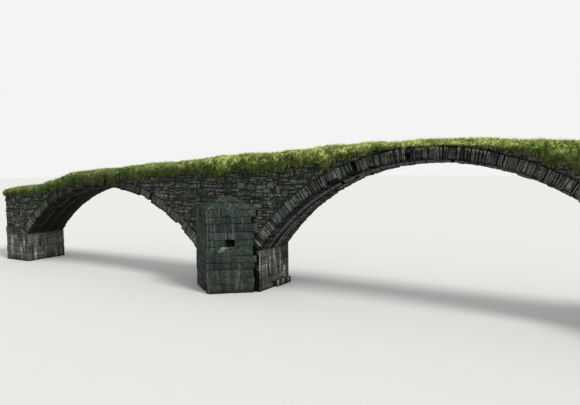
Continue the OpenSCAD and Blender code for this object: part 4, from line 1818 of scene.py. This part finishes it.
@dataclass
class Cutwater(Bridge):
    """A pointed pier end of squared blocks, with a sloped cap against the wall.

    Attributes:
        side: Which pier it belongs to.
        face: Which face of the bridge it is on.
        seed: Which random draws it uses.
        shaft_share: Share of its height that is upright.
        nose_wear: How far the nose has worn back.
        nose_core: Half of the width of the mortar behind the nose.
        shoulder_wear: How far the stones at the main arch's shoulder have gone.
        cap_short, core_short: How far the cap's stones and its mortar end below its peak.
        lost_stone: Where a stone of the front flank is lost: its ends as shares of the flank,
            and its heights.
        lime_run: Where lime has run out below it, the same way.
        lime_patch: Size of the patches of lime.
    """

    side: Side
    face: Face
    seed: int
    shaft_share: float = 0.852
    nose_wear: float = 0.006
    nose_core: float = 0.04
    shoulder_wear: float = 0.2
    cap_short: float = 0.035
    core_short: float = 0.05
    lost_stone: tuple[float, float, float, float] = (0.5, 0.672, 1.085, 1.255)
    lime_run: tuple[float, float, float, float] = (0.55, 0.86, 0.9, 1.07)
    lime_patch: float = 0.07

    def build(self) -> None:
        """Makes the cutwater."""
        form, sign, y_sign = self.form, self.side.value, self.face.value
        node = f"{self.side.name.lower()}_{self.face.name.lower()}_cutwater"
        low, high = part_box(node)
        top = high.z
        shaft = top * self.shaft_share
        out = max(abs(low.y), abs(high.y))
        middle = (form.pier_low + form.pier_high) / 2
        wall_y = y_sign * form.half_w
        ridge = np.array([sign * middle, wall_y])
        plan = [(sign * form.pier_low, wall_y), (sign * middle, y_sign * (out - self.nose_wear)),
                (sign * form.pier_high, wall_y)]
        path = PlanPath.through(plan, FACE_DEPTH, (sign * middle, wall_y))

        def lean(point: Array, level: float) -> Array:
            """Draws a point of the cap in towards the ridge as it rises."""
            share = max(0.0, level - shaft) / (top - shaft)
            return point + (ridge - point) * share

        worn = self.face is Face.FRONT
        flank = float(path.marks[1])
        first, second, hole_low, hole_high = self.lost_stone
        holes = [Hole(first * flank, second * flank, hole_low, hole_high)] if worn else []
        wall = CoursedWall(path, NEAT, lambda s: 0.0, lambda s: shaft, quoin=(0.15, 0.28), holes=holes,
                           ragged_start=self.shoulder_wear if worn else 0.0)
        shaft_stones = wall.mesh(self.seed)
        if worn:
            self._whiten(shaft_stones, path)
        cap = CoursedWall(path, SLABS, lambda s: shaft, lambda s: top - self.cap_short, quoin=(0.2, 0.3),
                          lean=lean, bare=FACE_AND_TOP)
        inset = SQUARED.joint_depth
        shoulder = self.shoulder_wear * SHOULDER_COVER if worn else inset
        nose_y = y_sign * (out - inset * NOSE_COVER)
        inner = [(plan[0][0] + sign * shoulder, wall_y), (sign * (middle - self.nose_core), nose_y),
                 (sign * (middle + self.nose_core), nose_y), (plan[2][0] - sign * inset, wall_y)]
        core = Mesh.prism(inner, Plane.PLAN, 0.0, shaft)
        peak = np.array([[x, y, shaft] for x, y in inner] + [[ridge[0], ridge[1], top - self.core_short]])
        sides = [np.array([i, (i + 1) % 4, 4]) for i in range(4)]
        cap_core = Mesh.of(peak, sides + [np.array([3, 2, 1, 0])])
        # The cores take the nearly black mortar: painted shadow in the gap at the shoulder.
        stone, mortar = self.finishes.cutwater, self.finishes.painted_shadow_mortar
        parts = [(shaft_stones, stone), (cap.mesh(self.seed + 5), stone), (core, mortar), (cap_core, mortar)]
        self.place(node + "_stones", parts, "pier_sandstone", node)

    def _whiten(self, stones: Mesh, path: PlanPath) -> None:
        """Marks where lime has run out of the joints below the lost stone.

        Args:
            stones: The stones of the shaft, whose exposure_and_light it changes.
            path: The plan of the faces.
        """
        flank = path.outer[1] - path.outer[0]
        share = (stones.verts[:, :2] - path.outer[0]) @ flank / (flank @ flank)
        level = stones.verts[:, 2]
        start, end, low, high = self.lime_run
        reached = (share > start) & (share < end) & (level > low) & (level < high)
        patchy = lattice_noise(stones.verts / self.lime_patch, self.seed) > LIME_LEAST
        stones.exposure_and_light[reached & patchy & (stones.exposure_and_light > JOINT_AIR)] = WEAR_AND_HIGHLIGHT * LIME_AIR


@dataclass
class Abutment(Bridge):
    """The block of masonry under the outer springing of a side arch."""

    side: Side
    seed: int

    def build(self) -> None:
        """Makes the abutment."""
        form, sign, name = self.form, self.side.value, self.side.name.lower()
        arch = form.right
        out, up = arch.skew
        corners = [(form.abutment_x, 0.0), (form.abutment_x, -form.half_w), (form.end_x, -form.half_w),
                   (form.end_x, form.half_w), (form.abutment_x, form.half_w), (form.abutment_x, 0.0)]
        path = PlanPath.through([(sign * x, y) for x, y in corners], FACE_DEPTH,
                                (sign * (form.abutment_x + form.end_x) / 2, 0.0))

        def high(along: float) -> float:
            """Top of the wall, which follows the arch's skewed seat."""
            x = abs(path.at(along)[0])
            return arch.spring_z + up * min(1.0, max(0.0, (x - form.abutment_x) / out))

        wall = CoursedWall(path, WASHED, lambda s: 0.0, high).mesh(self.seed)
        inset = WASHED.joint_depth
        inner, outer = form.abutment_x + inset, form.end_x - inset
        profile = [(inner, 0.0), (outer, 0.0), (outer, arch.spring_z + up),
                   (form.abutment_x + out, arch.spring_z + up), (inner, arch.spring_z)]
        core = Mesh.prism([(sign * x, z) for x, z in profile], Plane.PROFILE, -form.half_w + inset,
                          form.half_w - inset)
        parts = [(wall, self.finishes.abutment), (core, self.finishes.wall_mortar)]
        self.place(f"{name}_abutment_stones", parts, "pier_sandstone", f"{name}_abutment")


@dataclass(frozen=True)
class Sward:
    """One growth of grass on the mat: how many blades, where they root, and how they grow.

    The columns are counted from either hem, and a negative rise hangs down. root_light darkens each
    blade towards its root, as painted shade, and sunlit is the share of blades with a painted
    highlight.
    """

    blades: int
    columns: tuple[int, int]
    length: Pair
    width: Pair
    stand: float
    rise: float
    spread: float
    root_light: float
    sunlit: float
    full_from: float = 0.01


TOP_SWARD = Sward(blades=11600, columns=(12, 35), length=(0.03, 0.075), width=(0.004, 0.008), stand=0.9,
                  rise=0.4, spread=0.45, root_light=0.82, sunlit=0.2)
HANGING_SWARD = Sward(blades=7600, columns=(6, 16), length=(0.04, 0.11), width=(0.004, 0.008), stand=0.35,
                      rise=-1.0, spread=0.22, root_light=0.5, sunlit=0.05, full_from=1.3)
# The waves of the hem: length, share of the drape, and noise field.
HEM_WAVES = ((0.42, 0.34, 31), (0.14, 0.28, 32), (0.06, 0.26, 33))
SIDE_SHIFT, LEAST_DRAPE = 7.3, 0.25
# The mat's humps and its grain: size, noise field, and push along X, Y and Z.
HUMPS, GRAIN = (0.3, 20, (0.0, 0.016, 0.02)), (0.055, 22, (0.01, 0.012, 0.012))
# Its tufts, wide and narrow: size, share and noise field.
TUFTS = ((0.15, 0.75, 27), (0.062, 0.6, 28))
TUFT_HEIGHT, TUFT_LEAN = 0.03, 1.2
ROOT_WIDTH, ROOT_DRAW, ROOT_PUSH = 0.034, 0.3, 0.009
HELD_COLUMNS, EARTH_COLUMNS = 3, 6
# Where the painted shade on the hem begins to deepen towards the ends, and over what length.
END_SHADE_FROM, END_SHADE_OVER = 4.5, 3.0
LEAST_BLADE, BLADE_FOOT = 0.25, 0.006
BLADE_SECTION = ((1.0, 0.0), (-0.5, 0.87), (-0.5, -0.87))
# How light the mat and the blades are in the hollows, and where they begin to be lighter: painted
# shade between the tufts.
MAT_LIGHT, BLADE_LIGHT, LIGHT_SLOPE, TIP_SPREAD = (0.66, 0.75), (0.72, 0.9), 1.5, 0.1
# Painted shade along the hem, and more of it on the hem towards the ends.
HEM_SHADE, END_SHADE, CROWN_POWER = 0.8, 0.1, 2.2
# A place inside the bed, to tell which way is out: its share of Y, and how far below the walls' tops.
HEART_SHARE, HEART_DROP = 0.6, 0.4


@dataclass
class TurfBed(Bridge):
    """A stretch of the earth deck: a lumpy turf mat that hangs ragged over the walls.

    Attributes:
        node: The bed's node.
        x_from: Where it starts.
        x_to: Where it ends.
        seed: Which random draws its tufts use.
        step: Distance between the mat's rows.
        across: How many cells its top has from side to side.
        sunk_from_crown: How far the mat lies below the earth bed's top, by distance from the crown.
        swards: What grows on it.
        drape_from_crown: How far the hem hangs below the wall's top, by distance from the crown.
        edge: The section of its edge: how far out of the wall's face, how much of the drape and
            how much of the bed's thickness each point takes.
    """

    node: str
    x_from: float
    x_to: float
    seed: int
    step: float = 0.022
    across: int = 34
    sunk_from_crown: tuple[Pair, ...] = ((0.0, 0.034), (0.5, 0.03), (1.4, 0.0), (13.4, 0.0))
    swards: tuple[Sward, ...] = (TOP_SWARD, HANGING_SWARD)
    drape_from_crown: tuple[Pair, ...] = (
        (0.0, 0.004), (0.9, 0.01), (1.5, 0.05), (1.75, 0.12), (2.05, 0.22), (2.6, 0.3), (4.5, 0.28),
        (6.5, 0.15), (9.0, 0.21), (10.6, 0.2), (11.5, 0.12), (13.4, 0.07))
    edge: tuple[Triple, ...] = (
        (-0.30, 0.0, 0.0), (-0.12, 0.0, 0.0), (-0.004, 0.0, 0.0), (0.003, -0.4, 0.0), (0.005, -0.75, 0.0),
        (0.009, -0.96, 0.0), (0.02, -1.0, 0.0), (0.031, -0.9, 0.0), (0.039, -0.74, 0.0), (0.045, -0.56, 0.0),
        (0.05, -0.38, 0.0), (0.054, -0.2, 0.04), (0.055, -0.06, 0.14), (0.05, 0.0, 0.28), (0.038, 0.0, 0.42),
        (0.018, 0.0, 0.56), (-0.01, 0.0, 0.68), (-0.045, 0.0, 0.78), (-0.085, 0.0, 0.86))

    def _drape(self, xs: Array, side: int) -> Array:
        """Finds how far the ragged hem hangs.

        Args:
            xs: The stations.
            side: The side of the bridge, as the sign of Y.

        Returns:
            The drape at each station.
        """
        mean = np.interp(abs(xs), *zip(*self.drape_from_crown))
        ragged = np.zeros(len(xs))
        for length, share, seed in HEM_WAVES:
            fixed = np.full((len(xs), 2), (side * SIDE_SHIFT, seed))
            ragged += share * lattice_noise(np.column_stack([xs / length, fixed]), seed)
        return mean * np.maximum(LEAST_DRAPE, 1 + ragged)

    def _grid(self) -> Array:
        """Lays out the mat's points.

        Returns:
            A (stations, places round the section, 3) array.
        """
        form = self.form
        xs = np.linspace(self.x_from, self.x_to, round((self.x_to - self.x_from) / self.step) + 1)
        wall = form.deck.wall_z(xs)
        thick = form.deck.bed_z(xs) - wall - np.interp(abs(xs), *zip(*self.sunk_from_crown))
        columns = []
        for side in (-1, 1):
            drape = self._drape(xs, side)
            hem = []
            for out, hang, lift in self.edge:
                y = np.full(len(xs), side * (form.half_w + out))
                hem.append(np.stack([xs, y, wall + hang * drape + lift * thick], axis=-1))
            columns.append(hem if side < 0 else hem[::-1])
        reach = form.half_w + self.edge[-1][0]
        top = []
        for share in np.linspace(-1, 1, self.across + 1)[1:-1]:
            lift = self.edge[-1][2] + (1 - self.edge[-1][2]) * (1 - abs(share) ** CROWN_POWER)
            top.append(np.stack([xs, np.full(len(xs), share * reach), wall + thick * lift], axis=-1))
        return np.stack(columns[0] + top + columns[1], axis=1)

    def _lumps(self, flat: Array) -> Array:
        """How high the tufts stand at each point, from -1 in the hollows to 1."""
        return np.clip(sum(share * lattice_noise(flat / size, seed) for size, share, seed in TUFTS), -1, 1)

    def _light(self, flat: Array, least: float, start: float) -> Array:
        """How light each point is by its tufts: painted shade, from the least in their hollows to 1."""
        return least + (1 - least) * np.clip(start + LIGHT_SLOPE * self._lumps(flat), 0, 1)

    def _roughened(self, grid: Array) -> Array:
        """Gives the mat its lumps and tufts, still level with its neighbours at both ends.

        Args:
            grid: The mat's points.

        Returns:
            The moved points.
        """
        free = np.ones(grid.shape[1])
        free[:HELD_COLUMNS] = free[-HELD_COLUMNS:] = 0
        flat = grid.reshape(-1, 3)
        sign = np.sign(flat[:, 1])
        size, seed, reach = HUMPS
        push = noise_vectors(flat, size, seed) * np.array(reach)
        lean = TUFT_LEAN * flat[:, 1] / self.form.half_w
        outward = unit(np.stack([np.zeros(len(flat)), lean, np.ones(len(flat))], axis=-1))
        push += outward * self._lumps(flat)[:, None] * TUFT_HEIGHT
        size, seed, reach = GRAIN
        push += noise_vectors(flat, size, seed) * np.array(reach)
        roots = np.stack([flat[:, 0] / ROOT_WIDTH, sign, flat[:, 2] / ROOT_DRAW], axis=-1)
        push[:, 1] += sign * ROOT_PUSH * lattice_noise(roots, 25)
        moved = (flat + push * np.tile(free, len(grid))[:, None]).reshape(grid.shape)
        moved[0, :, 0], moved[-1, :, 0] = self.x_from, self.x_to
        moved[1:-1, :, 0] = np.clip(moved[1:-1, :, 0], self.x_from + 2 * MM, self.x_to - 2 * MM)
        return moved

    def _mat(self, grid: Array) -> Mesh:
        """Closes the mat on its grid of points.

        Args:
            grid: The mat's points.

        Returns:
            The mat, light on its lumps, darker along the hem and dark where it faces down: painted shade
            in the hollows and along the hem, deeper towards the ends, and earth where it faces down.
        """
        count, size = grid.shape[:2]
        row, column = np.meshgrid(np.arange(count - 1), np.arange(size), indexing="ij")
        after = (column + 1) % size
        quads = np.stack([row * size + column, (row + 1) * size + column, (row + 1) * size + after,
                          row * size + after], axis=-1).reshape(-1, 4)
        ends = [np.arange(size), (count - 1) * size + np.arange(size)[::-1]]
        middle = size // 2
        probe = np.cross(grid[1, middle] - grid[0, middle], grid[0, middle + 1] - grid[0, middle])
        if probe[2] < 0:
            quads, ends = quads[:, ::-1], [end[::-1] for end in ends]
        hem = np.array([hang for _, hang, _ in self.edge])
        # The hem is darker as painted shade; the columns under it, facing the wall, are earth.
        air = 1 + HEM_SHADE * np.concatenate([hem, np.zeros(size - 2 * len(hem)), hem[::-1]])
        air[:EARTH_COLUMNS] = air[-EARTH_COLUMNS:] = 0
        sizes = np.concatenate([np.full(len(quads), 4), [size, size]])
        flat = grid.reshape(-1, 3)
        from_crown = abs(grid[:, :1, 0])
        toward_ends = np.clip((from_crown - END_SHADE_FROM) / END_SHADE_OVER, 0, 1)
        bare = 1 - np.clip(from_crown / HANGING_SWARD.full_from, 0, 1)
        # Painted shade: the hem is darker towards the ends.
        light = air * (1 - END_SHADE * toward_ends * (air < 1))
        light = np.where(air > 0, light + (1 - light) * bare, light)
        for end, x in ((0, self.x_from), (-1, self.x_to)):
            if abs(x) > self.form.end_x - self.step:
                light[end] = 0.0
        light = light.ravel() * self._light(flat, *MAT_LIGHT)
        return Mesh(flat, np.concatenate([quads.ravel(), *ends]), sizes, light)

    def _grass(self, grid: Array, sward: Sward, seed: int) -> Mesh:
        """Grows one kind of grass.

        Args:
            grid: The mat's points.
            sward: The growth.
            seed: Which random draws place it.

        Returns:
            Its blades, each a closed spike.
        """
        rng = np.random.default_rng(seed)
        count, size = grid.shape[:2]
        blades = sward.blades
        row = rng.integers(1, count - 2, blades)
        column = rng.integers(*sward.columns, blades)
        column = np.where(rng.random(blades) < 0.5, column, size - 2 - column)
        corner, ahead, beside = grid[row, column], grid[row + 1, column], grid[row, column + 1]
        shares = rng.uniform(0, 1, (2, blades, 1))
        root = corner + (ahead - corner) * shares[0] + (beside - corner) * shares[1]
        normal = unit(np.cross(ahead - corner, beside - corner))
        heart = self.form.deck.wall_z(root[:, 0]) - HEART_DROP
        inside = np.stack([root[:, 0], root[:, 1] * HEART_SHARE, heart], axis=-1)
        normal *= np.sign(np.einsum("ij,ij->i", normal, root - inside))[:, None]
        way = normal * sward.stand + rng.normal(0, sward.spread, (blades, 3))
        way[:, 2] += sward.rise
        way = unit(way)
        kept = np.clip(abs(root[:, :1]) / sward.full_from, LEAST_BLADE, 1)
        tip = root + way * rng.uniform(*sward.length, (blades, 1)) * kept
        side = unit(np.cross(way, rng.normal(0, 1, (blades, 3))))
        other = np.cross(way, side)
        width = rng.uniform(*sward.width, (blades, 1))
        foot = root - way * BLADE_FOOT
        corners = [foot + side * width * a + other * width * b for a, b in BLADE_SECTION]
        verts = np.stack([*corners, tip], axis=1).reshape(-1, 3)
        verts[:, 0] = np.clip(verts[:, 0], self.x_from + MM, self.x_to - MM)
        spike = np.array([[0, 1, 3], [1, 2, 3], [2, 0, 3], [0, 2, 1]])
        faces = (spike[None] + (np.arange(blades) * 4)[:, None, None]).reshape(-1, 3)
        # Blades are darker in the hollows and towards their roots, as painted shade; a share get a painted
        # highlight as sunlit.
        tip_light = self._light(root, *BLADE_LIGHT) - rng.uniform(0, TIP_SPREAD, blades)
        tip_light = np.where(rng.random(blades) < sward.sunlit, WEAR_AND_HIGHLIGHT, tip_light)
        air = np.stack([np.minimum(tip_light, 1) * sward.root_light] * 3 + [tip_light], axis=-1)
        return Mesh(verts, faces.ravel(), np.full(len(faces), 3), air.ravel())

    def build(self) -> None:
        """Makes the bed."""
        grid = self._roughened(self._grid())
        turf = self.finishes.turf
        parts = [(self._mat(grid), turf)]
        for number, sward in enumerate(self.swards):
            parts.append((self._grass(grid, sward, self.seed + 10 * number), turf))
        self.place(self.node + "_mat", parts, "turf_bed", self.node)


# Studio


@dataclass(frozen=True)
class Studio:
    """The pale floor, soft lights and the camera at the photograph's angle."""

    eye: Triple = (2.78845, -10.8046, 2.90295)
    yaw: float = 0.5236
    pitch: float = -0.0705
    roll: float = -0.0073
    focal_px: float = 540.0
    frame_px: float = 580.0
    sensor_mm: float = 36.0
    key_from: Triple = (0.85, -0.24, 0.8)
    key_strength: float = 2.2
    key_softness_deg: float = 18.0
    fill_colour: str = "#eef1f5"
    fill_strength: float = 0.72
    backdrop: str = "#f4f4f2"
    floor_reach: float = 120.0

    def camera(self) -> None:
        """Places the camera."""
        data = bpy.data.cameras.new("photo_camera")
        data.sensor_width = self.sensor_mm
        data.lens = self.focal_px / self.frame_px * self.sensor_mm
        data.clip_end = 500.0
        camera = bpy.data.objects.new("photo_camera", data)
        turned = Matrix.Rotation(self.yaw, 4, "Z") @ Matrix.Rotation(math.pi / 2 + self.pitch, 4, "X")
        camera.matrix_world = Matrix.Translation(self.eye) @ turned @ Matrix.Rotation(self.roll, 4, "Z")
        bpy.context.scene.collection.objects.link(camera)
        bpy.context.scene.camera = camera

    def lights(self) -> None:
        """Adds one soft key light and an even fill from the world."""
        data = bpy.data.lights.new("soft_key", "SUN")
        data.energy = self.key_strength
        data.angle = math.radians(self.key_softness_deg)
        key = bpy.data.objects.new("soft_key", data)
        key.rotation_euler = Vector(self.key_from).to_track_quat("Z", "Y").to_euler()
        bpy.context.scene.collection.objects.link(key)
        world = bpy.data.worlds.new("studio")
        world.use_nodes = True
        bpy.context.scene.world = world
        tree = world.node_tree
        tree.nodes.clear()
        path = add_node(tree, "LightPath").outputs
        fill = add_node(tree, "Background", {0: linear(self.fill_colour), 1: self.fill_strength})
        white = add_node(tree, "Background", {0: linear(self.backdrop), 1: 1.0})
        seen = add_node(tree, "Math", {0: path["Is Camera Ray"], 1: path["Is Glossy Ray"]},
                        operation="MAXIMUM")
        mixed = add_node(tree, "MixShader",
                         {0: seen.outputs[0], 1: fill.outputs[0], 2: white.outputs[0]})
        add_node(tree, "OutputWorld", {0: mixed.outputs[0]})

    def floor(self) -> None:
        """Lays the floor under the bridge."""
        corners = np.array([(-1, -1, 0), (1, -1, 0), (1, 1, 0), (-1, 1, 0)], float)
        card = Mesh(corners * self.floor_reach, np.arange(4), np.array([4]), np.ones(4))
        make_piece("studio_floor", [(card, StudioCard().build())], held=False)


# The bridge


MAIN_RINGS = {"stones": 75, "splits": 0.5, "shaded": 0.72}
# The side arches' rings are darker under the turf and on their soffits: painted shade.
SIDE_RINGS = {"stones": 39, "splits": 0.1, "shaded": 1.6, "turf_shade_and_damp_dimmest": 0.0, "painted_soffit_light": 0.3}
# What single stones have lost, which shows on the front only.
FRONT_DAMAGE = {
    "main_front_ring": {"lost": (24,), "short": (19, 20, 23), "broken": {33: 0.17}},
    "left_front_ring": {"wide_joint": 29},
}


def build_rings(form: BridgeForm, finishes: Finishes) -> None:
    """Builds the twelve parallel rings of the three arches.

    Args:
        form: The bridge's sizes.
        finishes: Its materials.
    """
    inner = form.half_w - form.face_ring_w
    bands = {"front_ring": (-form.half_w, -inner), "front_rib": (-inner, 0.0), "back_rib": (0.0, inner),
             "back_ring": (form.half_w, inner)}
    seed = 100
    for name, arch in (("main", form.main), ("left", form.left), ("right", form.right)):
        for band, (y_from, y_to) in bands.items():
            seed += 10
            node = f"{name}_{band}"
            ArchRing(form, finishes, node, arch, y_from, y_to, seed=seed, is_rib="rib" in band,
                     **(MAIN_RINGS if name == "main" else SIDE_RINGS), **FRONT_DAMAGE.get(node, {})).build()


def build_walls(form: BridgeForm, finishes: Finishes) -> None:
    """Builds the spandrel walls and the end walls.

    Args:
        form: The bridge's sizes.
        finishes: Its materials.
    """
    pier_wall_low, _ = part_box("right_front_pier_wall")
    approach_low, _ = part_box("right_front_approach_wall")
    crown_x = form.right.mid_x
    seed = 300
    for side in Side:
        for face in Face:
            prefix = f"{side.name.lower()}_{face.name.lower()}"
            seed += 10
            SpandrelWall(form, finishes, f"{prefix}_pier_wall", side, face, pier_wall_low.x, crown_x,
                         pier_wall_low.z, seed).build()
            SpandrelWall(form, finishes, f"{prefix}_approach_wall", side, face, crown_x, form.end_x,
                         approach_low.z, seed + 5, turns_end=True).build()
        EndWall(form, finishes, f"{side.name.lower()}_end_wall", side, seed + 7).build()


def build_supports(form: BridgeForm, finishes: Finishes) -> None:
    """Builds the piers, cutwaters and abutments.

    Args:
        form: The bridge's sizes.
        finishes: Its materials.
    """
    seed = 500
    for side in Side:
        seed += 50
        Pier(form, finishes, side, seed).build()
        for face in Face:
            seed += 20
            Cutwater(form, finishes, side, face, seed).build()
        Abutment(form, finishes, side, seed + 10).build()


def build_deck(form: BridgeForm, finishes: Finishes) -> None:
    """Builds the three stretches of turf.

    Args:
        form: The bridge's sizes.
        finishes: Its materials.
    """
    for seed, node in enumerate(("left_turf_bed", "main_turf_bed", "right_turf_bed"), start=900):
        low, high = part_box(node)
        TurfBed(form, finishes, node, low.x, high.x, seed).build()


def dress_hidden_nodes(finishes: Finishes) -> None:
    """Gives the fill and the packing, which stay as they are, their rubble and earth finish.

    Args:
        finishes: The bridge's materials.
    """
    for name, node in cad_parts.items():
        if "fill" in name or "packing" in name:
            node.data.materials.clear()
            node.data.materials.append(finishes.mortar)
            LOG.info("%s: kept, with a rubble and earth finish", name)


def main() -> None:
    """Builds the studio and then the bridge, from the barrel of its arches to its deck."""
    logging.basicConfig(level=logging.INFO, format="%(message)s")
    bpy.context.scene.view_settings.view_transform = "Standard"
    studio = Studio()
    studio.camera()
    studio.lights()
    studio.floor()
    form = BridgeForm.from_frame()
    finishes = Finishes.build()
    build_rings(form, finishes)
    build_walls(form, finishes)
    build_supports(form, finishes)
    build_deck(form, finishes)
    dress_hidden_nodes(finishes)
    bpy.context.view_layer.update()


if __name__ == "__main__":
    main()
